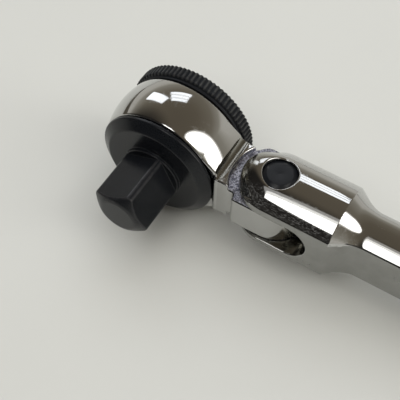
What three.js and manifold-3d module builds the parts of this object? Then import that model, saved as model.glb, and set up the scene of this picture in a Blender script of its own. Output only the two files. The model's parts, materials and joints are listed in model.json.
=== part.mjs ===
// Flex head ratchet with a reversing dial, in millimetres, +Z up.
// The tool lies on its side: the drive axis is Y, the handle runs along +X, and the hinge pin is
// parallel to Z.
// The origin is the centre of the drive square's end face, and the square points along -Y.
import * as THREE from "three";
import { mergeVertices } from "three/addons/utils/BufferGeometryUtils.js";
import Module from "manifold-3d";

const wasm = await Module();
wasm.setup();

// Fits
const GAP = 0.3; // between faces that pass each other
const RUN = 0.12; // on the radius of a part that turns in another
const SEAT = 0.06; // on the radius of a part that is pressed in

// Drive square, collar and flange
const SQUARE = 12.7;
const SQUARE_LENGTH = 16.1;
const SQUARE_TURN = 21.5; // degrees that a corner is turned from the handle's direction
const SQUARE_CORNER = 8.35; // distance of the bevelled corners from the axis
const TIP_RADIUS = 5.3;
const TIP_LENGTH = 1.8; // from the end face to where the corners are whole
const COLLAR_RADIUS = 8.5;
const COLLAR_LENGTH = 1;
const FLANGE_FACE_RADIUS = 14.4;
const FLANGE_RADIUS = 17.25;
const FLANGE_BEVEL_LENGTH = 2;
const FLANGE_RIM = 0.9;

// Ring of inside teeth
const TEETH = 48;
const TOOTH_TIP_RADIUS = 14;
const TOOTH_DEPTH = 0.94;
const TOOTH_RING_WALL = 1.26; // behind the teeth
const TOOTH_RING_RADIUS = TOOTH_TIP_RADIUS + TOOTH_DEPTH + TOOTH_RING_WALL;

// Head ring
const RING_WALL = 2.64; // from the ring of teeth to the crown
const RING_CROWN_RADIUS = TOOTH_RING_RADIUS + RING_WALL;
const RING_FRONT_DROP = 1.24; // from the crown to the front edge
const RING_BACK_DROP = 0.32; // from the crown to the back edge
const RING_FRONT_LENGTH = 6.4; // from the crown to the front face
const RING_BACK_LENGTH = 7.7; // from the crown to the back face
const RING_EDGE = 0.35;
const BEARING_RADIUS = 14.5; // drive's journal in the front wall
const BEARING_LENGTH = 3;

// Pawls and their carrier
const TOOTH_CLEARANCE = 0.25; // between the pawl's teeth and the ring's
const DRUM_RADIUS = TOOTH_TIP_RADIUS - GAP;
const DRUM_LENGTH = 8.2; // pawl carrier, from the journal to its back face
const BAY_ANGLE = 87; // half the angle of the carrier's bay
const BAY_FLOOR = 0.8; // web between the journal and the bay
const HUB_RADIUS = 7.4;
const PAWL_SWING = 12; // degrees between meshed and withdrawn
const PAWL_PIVOT_RADIUS = 10.2;
const PAWL_PIVOT_ANGLE = 32; // from +Z, towards the pawl's side
const PAWL_HEEL_RADIUS = 2.2;
const PAWL_TEETH = 2;
const PAWL_NOSE_TOOTH = 9; // ring tooth, counted from +Z, in the middle of the nose
const PAWL_NOSE_DEPTH = 3.2;
const PAWL_NOSE_SLOPE = 6; // degrees over which the pawl's back rises to its teeth
const PAWL_PIN_RADIUS = 1.2;
const PAWL_SPRING_RADIUS = 1.4;
const PAWL_SPRING_SUNK = 2.6; // into the hub
const PAWL_SPRING_CRUSH = 1.7; // by the withdrawn pawl
const PAWL_SPRING_LEAD = 2; // degrees from the spring to the middle of the nose
const PAWL_SPRING_TURNS = 4;

// Reversing dial
const DIAL_TURN = 36; // degrees between its two settings
const DIAL_NECK_STEP = 1.4; // from the ring of teeth out to the dial's neck
const DIAL_NECK_RADIUS = TOOTH_RING_RADIUS + DIAL_NECK_STEP;
const DIAL_NECK_LENGTH = 0.9;
const DIAL_RIM_STEP = 1.04; // from the neck out to the tops of the ridges
const DIAL_RADIUS = DIAL_NECK_RADIUS + DIAL_RIM_STEP;
const DIAL_RIM_LENGTH = 3.65;
const DIAL_RIDGES = 96;
const DIAL_RIDGE_HEIGHT = 0.42;
const DIAL_EDGE = 0.35;
const DIAL_DISH_RADIUS = 15.2;
const DIAL_DISH_DEPTH = 0.65;
const DIAL_CLIP_RECESS_RADIUS = 8.2;
const DIAL_WEB = 4.4; // from the dial's front face to the seat of its snap ring
const SPIGOT_RADIUS = 5;
const PLATE_THICKNESS = 0.9;
const WASHER_THICKNESS = 0.4;
const SHIFT_PIN_RADIUS = 1.1;
const SHIFT_PIN_CIRCLE = 7.3;
const SHIFT_PIN_REACH = 4.2; // into the carrier
const SHIFT_PIN_HOLD = 2.2; // into the dial
const CLIP_THICKNESS = 0.7;
const CLIP_OUTER_RADIUS = 7;
const CLIP_GROOVE_RADIUS = 4.4;
const CLIP_OPENING = 30; // degrees

// Balls and coil springs
const DRIVE_BALL_RADIUS = 2.35;
const DRIVE_BALL_STAND = 1; // how far the ball stands out of the square
const DRIVE_BALL_FROM_END = 8;
const DRIVE_BALL_FACE = 3; // which side of the square, counted from the corner at SQUARE_TURN
const DRIVE_SPRING_LENGTH = 5;
const DRIVE_SPRING_TURNS = 3;
const DETENT_BALL_RADIUS = 1.5;
const DETENT_CIRCLE = 9.5;
const DETENT_STAND = 0.85; // how far the ball reaches into the dial's track
const DETENT_SPRING_LENGTH = 4.4;
const DETENT_SPRING_TURNS = 4;
const SMALL_WIRE = 0.45;
const DRIVE_SPRING_WIRE = 0.8;
const SEAL_WIRE = 1.25;

// Neck, tongue and fork
const PIN_DISTANCE = 33; // from the drive axis to the hinge axis
const PIN_RADIUS = 4.88;
const PIN_HALF_LENGTH = 11.7;
const PIN_CHAMFER = 0.6;
const NECK_HALF_HEIGHT = 7;
const NECK_HALF_WIDTH = 7.6;
const NECK_FILLET = 3.5; // between the ring's barrel and the neck
const NECK_COVE_RADIUS = 12.6; // clears the fork's ears, about the hinge axis
const TONGUE_HALF_HEIGHT = 5.37;
const TONGUE_HALF_WIDTH = 9.7;
const TONGUE_FRONT_RADIUS = 12.9; // of its front corners, about the hinge axis
const TONGUE_EDGE = 0.5;
const FORK_CROWN_RADIUS = 12.66;
const FORK_HALF_WIDTH = 10.3;
const FORK_NOSE_ROUND = 4.9;
const FORK_LENGTH = 19.1; // from the hinge axis to the shoulder's crease
const SLOT_DEPTH = 8; // from the hinge axis to the centre of the slot's round end
const HOLE_CHAMFER = 0.7;

// Shoulder, shank and grip
const SHOULDER_LENGTH = 4.4; // straight slope behind the crease
const SHOULDER_DROP = 0.8; // share of the step from fork to shank that the slope takes
const SHOULDER_FILLET_LENGTH = 4;
const SHANK_CROWN_RADIUS = 9.2;
const SHANK_HALF_WIDTH = 6.35;
const SHANK_LENGTH = 85;
const SWELL_LENGTH = 45;
const GRIP_CROWN_RADIUS = 13;
const GRIP_HALF_WIDTH = 8.4;
const GRIP_LENGTH = 46;
const GRIP_END_LENGTH = 13; // rounded end
const GRIP_END_FULLNESS = 0.6; // share of the end's length and width that its curve leans on

// Flex plunger
const PLUNGER_RADIUS = 2.4;
const PLUNGER_LENGTH = 10;
const PLUNGER_SPRING_LENGTH = 11;
const PLUNGER_SPRING_TURNS = 5;
const PLUNGER_WIRE = 0.7;

// Places along the drive axis
const FACE_Y = SQUARE_LENGTH + COLLAR_LENGTH;
const RIM_Y = FACE_Y + FLANGE_BEVEL_LENGTH;
const FLANGE_BACK_Y = RIM_Y + FLANGE_RIM;
const RING_FRONT_Y = FLANGE_BACK_Y + GAP;
const MID_Y = RING_FRONT_Y + RING_FRONT_LENGTH;
const RING_BACK_Y = MID_Y + RING_BACK_LENGTH;
const TOOTH_FRONT_Y = RING_FRONT_Y + BEARING_LENGTH;
const DRUM_FRONT_Y = TOOTH_FRONT_Y - GAP;
const DRUM_BACK_Y = DRUM_FRONT_Y + DRUM_LENGTH;
const BAY_FRONT_Y = DRUM_FRONT_Y + BAY_FLOOR;
const PLATE_FRONT_Y = DRUM_BACK_Y + SEAT;
const PLATE_BACK_Y = PLATE_FRONT_Y + PLATE_THICKNESS;
const DIAL_FRONT_Y = PLATE_BACK_Y + GAP;
const DIAL_NECK_Y = RING_BACK_Y + WASHER_THICKNESS + 2 * RUN;
const DIAL_RIM_Y = DIAL_NECK_Y + DIAL_NECK_LENGTH;
const DIAL_BACK_Y = DIAL_RIM_Y + DIAL_RIM_LENGTH;
const CLIP_SEAT_Y = DIAL_FRONT_Y + DIAL_WEB;
const CLIP_Y = CLIP_SEAT_Y + RUN;
const SPIGOT_END_Y = CLIP_Y + CLIP_THICKNESS + SPIGOT_RADIUS - CLIP_GROOVE_RADIUS;

// Places along the handle
const SLOT_HALF_HEIGHT = TONGUE_HALF_HEIGHT + GAP;
const FORK_FRONT_X = PIN_DISTANCE - FORK_HALF_WIDTH;
const CREASE_X = PIN_DISTANCE + FORK_LENGTH;
const SHANK_X = CREASE_X + SHOULDER_LENGTH + SHOULDER_FILLET_LENGTH;
const SWELL_X = SHANK_X + SHANK_LENGTH;
const GRIP_X = SWELL_X + SWELL_LENGTH;
const GRIP_END_X = GRIP_X + GRIP_LENGTH;
const HANDLE_END_X = GRIP_END_X + GRIP_END_LENGTH;
const PLUNGER_TIP_X = PIN_DISTANCE + TONGUE_HALF_WIDTH + GAP;
const PLUNGER_BACK_X = PLUNGER_TIP_X + PLUNGER_LENGTH;
const PLUNGER_BORE_X = PLUNGER_BACK_X + PLUNGER_SPRING_LENGTH + 2 * GAP;

// Facets
const ROUND = 36; // sides of a large turned piece
const SMALL_ROUND = 14; // sides of a pin or a hole
const ARC_STEPS = 6;
const PAST = 2; // how far a cutting solid reaches past the face it cuts

const rad = THREE.MathUtils.degToRad;

// A geometry as a solid, with its faces turned outwards.
function solid(geometry) {
  const bare = new THREE.BufferGeometry();
  bare.setAttribute("position", geometry.getAttribute("position"));
  bare.setIndex(geometry.getIndex());
  const merged = mergeVertices(bare, 1e-4);
  const corners = merged.getIndex().array;
  const at = merged.getAttribute("position");
  const [a, b, c] = [new THREE.Vector3(), new THREE.Vector3(), new THREE.Vector3()];
  const kept = [];
  let volume = 0;
  for (let i = 0; i < corners.length; i += 3) {
    const [p, q, r] = corners.subarray(i, i + 3);
    if (p === q || q === r || r === p) continue;
    kept.push([p, q, r]);
    a.fromBufferAttribute(at, p);
    b.fromBufferAttribute(at, q);
    c.fromBufferAttribute(at, r);
    volume += a.dot(b.cross(c));
  }
  const outward = volume > 0 ? kept : kept.map(([p, q, r]) => [p, r, q]);
  const triVerts = Uint32Array.from(outward.flat());
  return new wasm.Manifold(new wasm.Mesh({ numProp: 3, vertProperties: at.array, triVerts }));
}

// A solid as a geometry with flat facets.
function geometryOf(shape) {
  const made = shape.getMesh();
  const geometry = new THREE.BufferGeometry();
  geometry.setAttribute("position", new THREE.BufferAttribute(made.vertProperties, 3));
  geometry.setIndex(new THREE.BufferAttribute(made.triVerts, 1));
  const facets = geometry.toNonIndexed();
  facets.computeVertexNormals();
  return facets;
}

const join = (first, ...rest) => rest.reduce((all, next) => all.add(next), first);
const cut = (first, ...rest) => rest.reduce((all, next) => all.subtract(next), first);

// Turned about the drive axis, from [radius, y] pairs.
function turned(profile, sides = ROUND) {
  const points = profile.map(([radius, y]) => new THREE.Vector2(radius, y));
  return solid(new THREE.LatheGeometry(points, sides));
}

// A round bar between two points.
function bar(radius, start, end, sides = SMALL_ROUND, endRadius = radius) {
  const along = end.clone().sub(start);
  const geometry = new THREE.CylinderGeometry(endRadius, radius, along.length(), sides);
  const up = new THREE.Vector3(0, 1, 0);
  geometry.applyQuaternion(new THREE.Quaternion().setFromUnitVectors(up, along.clone().normalize()));
  geometry.translate(...start.clone().addScaledVector(along, 0.5));
  return solid(geometry);
}

const barY = (radius, [x, z], y0, y1, sides) =>
  bar(radius, new THREE.Vector3(x, y0, z), new THREE.Vector3(x, y1, z), sides);
const barZ = (radius, x, z0, z1, sides, endRadius) =>
  bar(radius, new THREE.Vector3(x, MID_Y, z0), new THREE.Vector3(x, MID_Y, z1), sides, endRadius);
const barX = (radius, x0, x1, sides) =>
  bar(radius, new THREE.Vector3(x0, MID_Y, 0), new THREE.Vector3(x1, MID_Y, 0), sides);

// An outline across the drive axis, drawn in x and z, as thick as y0 to y1.
function slice(shape, y0, y1) {
  const geometry = new THREE.ExtrudeGeometry(shape, {
    depth: y1 - y0,
    bevelEnabled: false,
    curveSegments: ARC_STEPS,
  });
  return solid(geometry.rotateX(Math.PI / 2).translate(0, y1, 0));
}

// An outline seen from above, drawn about the handle's axis, from z0 up to z1.
function slab(shape, z0, z1) {
  const geometry = new THREE.ExtrudeGeometry(shape, {
    depth: z1 - z0,
    bevelEnabled: false,
    curveSegments: ARC_STEPS,
  });
  return solid(geometry.translate(0, MID_Y, z0));
}

// The closed outline that a half outline and its mirror image across the handle's axis make.
function mirrored(half) {
  const points = half.getPoints(ARC_STEPS);
  const other = points.map((p) => new THREE.Vector2(p.x, -p.y)).reverse();
  return new THREE.Shape([...points, ...other.filter((p) => p.y < 0)]);
}

// A point across the drive axis at an angle from +Z towards +X.
function polar(radius, degrees) {
  return [radius * Math.sin(rad(degrees)), radius * Math.cos(rad(degrees))];
}

const outline = (points) => new THREE.Shape(points.map(([x, z]) => new THREE.Vector2(x, z)));

// Part of a ring across the drive axis, from one angle to another.
function sector(inner, outer, from, to) {
  const shape = new THREE.Shape();
  shape.absarc(0, 0, outer, rad(90 - to), rad(90 - from), false);
  shape.absarc(0, 0, inner, rad(90 - from), rad(90 - to), true);
  return shape;
}

// A solid turned about a line parallel to the drive axis, by degrees from +Z towards +X.
function swung(shape, [x, z], degrees) {
  const about = shape.translate([-x, 0, -z]).rotate([0, degrees, 0]);
  return about.translate([x, 0, z]);
}

const group = new THREE.Group();
const chrome = { color: 0xd5d7da, roughness: 0.1, metalness: 1 };
const steel = { color: 0x9a9c9f, roughness: 0.35, metalness: 1 };
const blackened = { color: 0x202224, roughness: 0.38, metalness: 0.85 };
const bronze = { color: 0x9b7446, roughness: 0.4, metalness: 1 };
const rubber = { color: 0x161616, roughness: 0.75, metalness: 0 };

function piece(name, shape, finish) {
  const mesh = new THREE.Mesh(geometryOf(shape), new THREE.MeshStandardMaterial(finish));
  mesh.name = name;
  group.add(mesh);
}

// Coil springs
class Coil extends THREE.Curve {
  constructor(radius, turns, length) {
    super();
    Object.assign(this, { radius, turns, length });
  }
  getPoint(t, target = new THREE.Vector3()) {
    const angle = 2 * Math.PI * this.turns * t;
    return target.set(this.radius * Math.cos(angle), this.length * t, this.radius * Math.sin(angle));
  }
}

const COIL_STEPS = 8; // to a turn
const COIL_SIDES = 5;
const SEAL_SIDES = 6;

function spring(name, wire, outerRadius, turns, start, end) {
  const along = end.clone().sub(start);
  const path = new Coil(outerRadius - wire / 2, turns, along.length() - wire);
  const circle = new THREE.EllipseCurve(0, 0, wire / 2, wire / 2);
  const section = new THREE.Shape(circle.getPoints(COIL_SIDES));
  const steps = Math.round(turns * COIL_STEPS);
  const geometry = new THREE.ExtrudeGeometry(section, { steps, extrudePath: path });
  const up = new THREE.Vector3(0, 1, 0);
  geometry.translate(0, wire / 2, 0);
  geometry.applyQuaternion(new THREE.Quaternion().setFromUnitVectors(up, along.normalize()));
  geometry.translate(...start);
  const points = path.getPoints(steps);
  const apart = points.flatMap((p, i) => {
    const later = points.slice(i + COIL_STEPS / 2);
    return later.map((q) => p.distanceTo(q));
  });
  console.log(`${name}: least gap between curls ${(Math.min(...apart) - wire).toFixed(2)} mm`);
  piece(name, solid(geometry), steel);
}

// Head ring: a barrel with a rounder front than back
function barrelRadius(y) {
  const along = y - MID_Y;
  const round = Math.sqrt(Math.max(0, 1 - (along / RING_FRONT_LENGTH) ** 2));
  if (along < 0) return RING_CROWN_RADIUS - RING_FRONT_DROP * (1 - round);
  return RING_CROWN_RADIUS - RING_BACK_DROP * (along / RING_BACK_LENGTH) ** 2;
}

// Rows of the barrel, closer together where it curves more.
function barrelRows(steps) {
  const rows = [];
  for (let i = 0; i <= steps; i++) {
    const share = Math.sin((i / steps - 1) * (Math.PI / 2));
    rows.push(MID_Y + share * RING_FRONT_LENGTH);
  }
  const straight = RING_BACK_LENGTH - RING_EDGE;
  for (let i = 2; i <= steps; i += 2) rows.push(MID_Y + (i / steps) * straight);
  return rows;
}

// Joins closed loops of points, one after the other, and closes both ends.
function loft(loops) {
  const count = loops[0].length;
  const positions = loops.flat().flatMap((p) => [p.x, p.y, p.z]);
  const faces = [];
  for (let i = 0; i + 1 < loops.length; i++) {
    for (let j = 0; j < count; j++) {
      const next = (j + 1) % count;
      const [a, b] = [i * count + j, i * count + next];
      faces.push(a, b, b + count, a, b + count, a + count);
    }
  }
  const flat = loops[0].map((p) => new THREE.Vector2(p.x, p.z));
  const clockwise = THREE.ShapeUtils.isClockWise(flat);
  const last = (loops.length - 1) * count;
  for (const triangle of THREE.ShapeUtils.triangulateShape(flat, [])) {
    const same = THREE.ShapeUtils.isClockWise(triangle.map((i) => flat[i])) === clockwise;
    const [a, b, c] = same ? triangle : triangle.toReversed();
    faces.push(a, c, b, last + a, last + b, last + c);
  }
  const geometry = new THREE.BufferGeometry();
  geometry.setAttribute("position", new THREE.Float32BufferAttribute(positions, 3));
  geometry.setIndex(faces);
  return solid(geometry);
}

// The concave blend that runs between the barrel and the neck's flat top.
function neckFillet() {
  const centreZ = NECK_HALF_HEIGHT + NECK_FILLET;
  const rows = barrelRows(ARC_STEPS).slice(1);
  return loft(rows.map((y) => {
    const reach = barrelRadius(y) + NECK_FILLET;
    const centreX = Math.sqrt(reach ** 2 - centreZ ** 2);
    const start = Math.atan2(-centreZ, -centreX);
    const arc = [];
    for (let i = 0; i <= ARC_STEPS; i++) {
      const angle = start + (i / ARC_STEPS) * (-Math.PI / 2 - start);
      const x = centreX + NECK_FILLET * Math.cos(angle);
      arc.push(new THREE.Vector3(x, y, centreZ + NECK_FILLET * Math.sin(angle)));
    }
    const under = NECK_HALF_HEIGHT - PAST;
    return [...arc, new THREE.Vector3(centreX, y, under), new THREE.Vector3(arc[0].x - PAST, y, under)];
  }));
}

function headBody() {
  const rows = barrelRows(2 * ARC_STEPS).map((y) => [barrelRadius(y), y]);
  const backRadius = RING_CROWN_RADIUS - RING_BACK_DROP;
  const back = [[backRadius - RING_EDGE, RING_BACK_Y], [0, RING_BACK_Y]];
  const barrel = turned([[0, RING_FRONT_Y], ...rows, ...back], ROUND);
  const fillet = neckFillet();

  const neckX = FLANGE_RADIUS + GAP;
  const coveX = PIN_DISTANCE - Math.sqrt(NECK_COVE_RADIUS ** 2 - NECK_HALF_WIDTH ** 2);
  const neckPlan = new THREE.Path();
  neckPlan.moveTo(BEARING_RADIUS, 0);
  neckPlan.lineTo(BEARING_RADIUS, RING_FRONT_LENGTH - GAP);
  neckPlan.lineTo(neckX, RING_FRONT_LENGTH - GAP);
  neckPlan.quadraticCurveTo(neckX, NECK_HALF_WIDTH, (neckX + coveX) / 2, NECK_HALF_WIDTH);
  neckPlan.lineTo(PIN_DISTANCE, NECK_HALF_WIDTH);
  neckPlan.lineTo(PIN_DISTANCE, 0);
  const cove = (side) => barZ(
    NECK_COVE_RADIUS, PIN_DISTANCE, side * TONGUE_HALF_HEIGHT, side * (NECK_HALF_HEIGHT + PAST), ROUND,
  );
  const neck = cut(slab(mirrored(neckPlan), -NECK_HALF_HEIGHT, NECK_HALF_HEIGHT), cove(1), cove(-1));

  const cornerX = PIN_DISTANCE - Math.sqrt(TONGUE_FRONT_RADIUS ** 2 - TONGUE_HALF_WIDTH ** 2);
  const tonguePlan = new THREE.Path();
  tonguePlan.moveTo(coveX - PAST, 0);
  tonguePlan.lineTo(coveX - PAST, NECK_HALF_WIDTH);
  tonguePlan.quadraticCurveTo(cornerX, NECK_HALF_WIDTH, cornerX, TONGUE_HALF_WIDTH);
  tonguePlan.lineTo(PIN_DISTANCE, TONGUE_HALF_WIDTH);
  tonguePlan.lineTo(PIN_DISTANCE, 0);
  const tongue = slab(mirrored(tonguePlan), -TONGUE_HALF_HEIGHT, TONGUE_HALF_HEIGHT);

  const endRadius = TONGUE_HALF_WIDTH;
  const tip = TONGUE_HALF_HEIGHT - TONGUE_EDGE;
  const eye = join(
    barZ(endRadius, PIN_DISTANCE, -tip, tip, ROUND),
    barZ(endRadius, PIN_DISTANCE, tip, TONGUE_HALF_HEIGHT, ROUND, endRadius - TONGUE_EDGE),
    barZ(endRadius, PIN_DISTANCE, -tip, -TONGUE_HALF_HEIGHT, ROUND, endRadius - TONGUE_EDGE),
  );
  const bore = turned([
    [0, RING_FRONT_Y - PAST],
    [BEARING_RADIUS + RUN, RING_FRONT_Y - PAST],
    [BEARING_RADIUS + RUN, TOOTH_FRONT_Y],
    [TOOTH_RING_RADIUS + SEAT, TOOTH_FRONT_Y],
    [TOOTH_RING_RADIUS + SEAT, RING_BACK_Y + PAST],
    [0, RING_BACK_Y + PAST],
  ]);
  const pinHole = barZ(PIN_RADIUS + RUN, PIN_DISTANCE, -NECK_HALF_HEIGHT, NECK_HALF_HEIGHT, ROUND);
  return cut(join(barrel, fillet, fillet.mirror([0, 0, 1]), neck, tongue, eye), bore, pinHole);
}

// Inside teeth: a zigzag between tips and roots, drawn from +Z round to +Z
function toothCorner(index) {
  const radius = index % 2 ? TOOTH_TIP_RADIUS + TOOTH_DEPTH : TOOTH_TIP_RADIUS;
  return [radius, (index * 180) / TEETH];
}

function toothRing() {
  const corners = [];
  for (let i = 0; i < 2 * TEETH; i++) corners.push(polar(...toothCorner(i)));
  const [front, back] = [TOOTH_FRONT_Y + SEAT, PLATE_BACK_Y];
  const blank = turned([[0, front], [TOOTH_RING_RADIUS, front], [TOOTH_RING_RADIUS, back], [0, back]]);
  return cut(blank, slice(outline(corners), front - PAST, back + PAST));
}

// Pawls: side is 1 on the +X side and -1 on the other, and a pawl is drawn in mesh, then swung in
const pivotOf = (side) => polar(PAWL_PIVOT_RADIUS, side * PAWL_PIVOT_ANGLE);

function pawl(side, withdrawn) {
  const [y0, y1] = [BAY_FRONT_Y + GAP, DRUM_BACK_Y - GAP];
  const pivot = pivotOf(side);
  const first = 2 * (PAWL_NOSE_TOOTH - PAWL_TEETH / 2);
  const teeth = [];
  for (let i = 0; i <= 2 * PAWL_TEETH; i++) {
    const [radius, angle] = toothCorner(first + i);
    teeth.push([radius - TOOTH_CLEARANCE, angle]);
  }
  const floor = TOOTH_TIP_RADIUS - PAWL_NOSE_DEPTH;
  const [noseStart, noseEnd] = [teeth[0][1], teeth.at(-1)[1]];
  const nose = [...teeth, [floor, noseEnd], [floor, noseStart]];
  const arm = [
    [PAWL_PIVOT_RADIUS + PAWL_HEEL_RADIUS, PAWL_PIVOT_ANGLE],
    [DRUM_RADIUS - 2 * GAP, noseStart - PAWL_NOSE_SLOPE],
    [TOOTH_TIP_RADIUS - TOOTH_CLEARANCE, noseStart],
    [floor, noseEnd],
    [PAWL_PIVOT_RADIUS - PAWL_HEEL_RADIUS, PAWL_PIVOT_ANGLE],
  ];
  const lifted = SHIFT_PIN_CIRCLE + SHIFT_PIN_RADIUS + GAP;
  const tail = [
    [lifted + GAP, DIAL_TURN / 4],
    [lifted + PAWL_HEEL_RADIUS, DIAL_TURN / 4],
    [PAWL_PIVOT_RADIUS + PAWL_HEEL_RADIUS, PAWL_PIVOT_ANGLE],
    [lifted, PAWL_PIVOT_ANGLE],
    [lifted, DIAL_TURN / 2],
  ];
  const drawn = (points) => slice(outline(points.map(([r, a]) => polar(r, side * a))), y0, y1);
  const body = cut(
    join(
      barY(PAWL_HEEL_RADIUS, pivot, y0, y1),
      drawn(arm),
      drawn(nose),
      swung(drawn(tail), pivot, -side * PAWL_SWING),
    ),
    barY(PAWL_PIN_RADIUS + RUN, pivot, y0 - PAST, y1 + PAST),
    springSeat(side, pawlSpringOut),
    swung(springSeat(side, pawlSpringIn), pivot, -side * PAWL_SWING),
  );
  return withdrawn ? swung(body, pivot, side * PAWL_SWING) : body;
}

// Drive: square, collar, flange, journal, pawl carrier and spigot in one piece
const springAngle = (PAWL_NOSE_TOOTH * 360) / TEETH - PAWL_SPRING_LEAD;
const springY = (BAY_FRONT_Y + DRUM_BACK_Y) / 2;
const pawlSpringBase = HUB_RADIUS - PAWL_SPRING_SUNK;
const pawlSpringOut = TOOTH_TIP_RADIUS - PAWL_NOSE_DEPTH - GAP;
const pawlSpringIn = pawlSpringOut - PAWL_SPRING_CRUSH;
const detentPlace = polar(DETENT_CIRCLE, 180);
const detentBallY = DIAL_FRONT_Y + DETENT_STAND - DETENT_BALL_RADIUS;
const detentHoleY = detentBallY - DETENT_BALL_RADIUS - DETENT_SPRING_LENGTH - GAP;
const sealY = (FLANGE_BACK_Y + DRUM_FRONT_Y) / 2;
const ballAngle = 90 * DRIVE_BALL_FACE - 45 - SQUARE_TURN;
const ballOut = new THREE.Vector3(Math.cos(rad(ballAngle)), 0, Math.sin(rad(ballAngle)));
const ballCentre = SQUARE / 2 + DRIVE_BALL_STAND - DRIVE_BALL_RADIUS;
const ballSpringStart = ballCentre - DRIVE_BALL_RADIUS - DRIVE_SPRING_LENGTH;
const ballAxis = new THREE.Vector3(0, DRIVE_BALL_FROM_END, 0);
const fromBallAxis = (out) => ballAxis.clone().addScaledVector(ballOut, out);

function driveAnvil() {
  const half = SQUARE / 2;
  const bevel = SQUARE_CORNER * Math.SQRT2 - half;
  const corners = [];
  for (let i = 0; i < 4; i++) {
    for (const [x, z] of [[half, -bevel], [half, bevel]]) {
      const turn = rad(90 * i + 45 - SQUARE_TURN);
      corners.push([x * Math.cos(turn) - z * Math.sin(turn), x * Math.sin(turn) + z * Math.cos(turn)]);
    }
  }
  const coneSlope = (SQUARE_CORNER - TIP_RADIUS) / TIP_LENGTH;
  const coneEnd = SQUARE_CORNER + PAST;
  const tip = turned([
    [0, 0],
    [TIP_RADIUS, 0],
    [coneEnd, (coneEnd - TIP_RADIUS) / coneSlope],
    [coneEnd, FACE_Y],
    [0, FACE_Y],
  ]);
  const square = slice(outline(corners), 0, FACE_Y).intersect(tip);

  const grooveHalf = SEAL_WIRE / 2 + RUN;
  const grooveFloor = BEARING_RADIUS - SEAL_WIRE - RUN;
  const body = turned([
    [0, SQUARE_LENGTH],
    [COLLAR_RADIUS - RUN, SQUARE_LENGTH],
    [COLLAR_RADIUS, SQUARE_LENGTH + RUN],
    [COLLAR_RADIUS, FACE_Y],
    [FLANGE_FACE_RADIUS, FACE_Y],
    [FLANGE_RADIUS, RIM_Y],
    [FLANGE_RADIUS, FLANGE_BACK_Y],
    [BEARING_RADIUS, FLANGE_BACK_Y],
    [BEARING_RADIUS, sealY - grooveHalf],
    [grooveFloor, sealY - grooveHalf],
    [grooveFloor, sealY + grooveHalf],
    [BEARING_RADIUS, sealY + grooveHalf],
    [BEARING_RADIUS, DRUM_FRONT_Y],
    [DRUM_RADIUS, DRUM_FRONT_Y],
    [DRUM_RADIUS, DRUM_BACK_Y],
    [SPIGOT_RADIUS, DRUM_BACK_Y],
    [SPIGOT_RADIUS, CLIP_Y - SEAT],
    [CLIP_GROOVE_RADIUS, CLIP_Y - SEAT],
    [CLIP_GROOVE_RADIUS, CLIP_Y + CLIP_THICKNESS + SEAT],
    [SPIGOT_RADIUS, CLIP_Y + CLIP_THICKNESS + SEAT],
    [CLIP_GROOVE_RADIUS, SPIGOT_END_Y],
    [0, SPIGOT_END_Y],
  ]);

  const back = DRUM_BACK_Y + PAST;
  const open = DRUM_BACK_Y + GAP;
  const bayPlan = sector(HUB_RADIUS, DRUM_RADIUS + PAST, -BAY_ANGLE, BAY_ANGLE);
  const bay = slice(bayPlan, BAY_FRONT_Y, open);
  const pinTrack = slice(shiftTrack(HUB_RADIUS + GAP), DRUM_BACK_Y - SHIFT_PIN_REACH - GAP, open);
  const pawlCuts = [1, -1].flatMap((side) => [
    barY(PAWL_PIN_RADIUS + SEAT, pivotOf(side), FLANGE_BACK_Y, BAY_FRONT_Y + PAST),
    bar(
      PAWL_SPRING_RADIUS + RUN,
      acrossDrive(pawlSpringBase - GAP, side * springAngle),
      acrossDrive(HUB_RADIUS + PAST, side * springAngle),
    ),
  ]);
  const detentHole = barY(DETENT_BALL_RADIUS + RUN, detentPlace, detentHoleY, back);
  const ballHole = bar(
    DRIVE_BALL_RADIUS + RUN,
    fromBallAxis(ballSpringStart - GAP),
    fromBallAxis(SQUARE),
  );
  return cut(join(square, body), bay, pinTrack, ...pawlCuts, detentHole, ballHole);
}

// The room in a pawl for its spring, which ends at a given radius.
function springSeat(side, end) {
  const [start, stop] = [SPIGOT_RADIUS, end + GAP].map((r) => acrossDrive(r, side * springAngle));
  return bar(PAWL_SPRING_RADIUS + RUN, start, stop);
}

function acrossDrive(radius, degrees) {
  const [x, z] = polar(radius, degrees);
  return new THREE.Vector3(x, springY, z);
}

// The room that the dial's shift pin sweeps, out to a given radius.
function shiftTrack(outer) {
  const inner = SHIFT_PIN_CIRCLE - SHIFT_PIN_RADIUS - GAP;
  const margin = THREE.MathUtils.radToDeg((SHIFT_PIN_RADIUS + GAP) / inner);
  return sector(inner, outer, -DIAL_TURN / 2 - margin, DIAL_TURN / 2 + margin);
}

function carrierPlate() {
  const blank = turned([
    [SPIGOT_RADIUS + RUN, PLATE_FRONT_Y],
    [DRUM_RADIUS, PLATE_FRONT_Y],
    [DRUM_RADIUS, PLATE_BACK_Y],
    [SPIGOT_RADIUS + RUN, PLATE_BACK_Y],
    [SPIGOT_RADIUS + RUN, PLATE_FRONT_Y],
  ]);
  const [y0, y1] = [PLATE_FRONT_Y - PAST, PLATE_BACK_Y + PAST];
  const track = slice(shiftTrack(SHIFT_PIN_CIRCLE + SHIFT_PIN_RADIUS + GAP), y0, y1);
  const pinHoles = [1, -1].map((side) => barY(PAWL_PIN_RADIUS + SEAT, pivotOf(side), y0, y1));
  return cut(blank, track, ...pinHoles, barY(DETENT_BALL_RADIUS + RUN, detentPlace, y0, y1));
}

// Dial: hub inside the ring, neck, ridged rim and dished back
const shiftPinPlace = polar(SHIFT_PIN_CIRCLE, -DIAL_TURN / 2);

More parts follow.
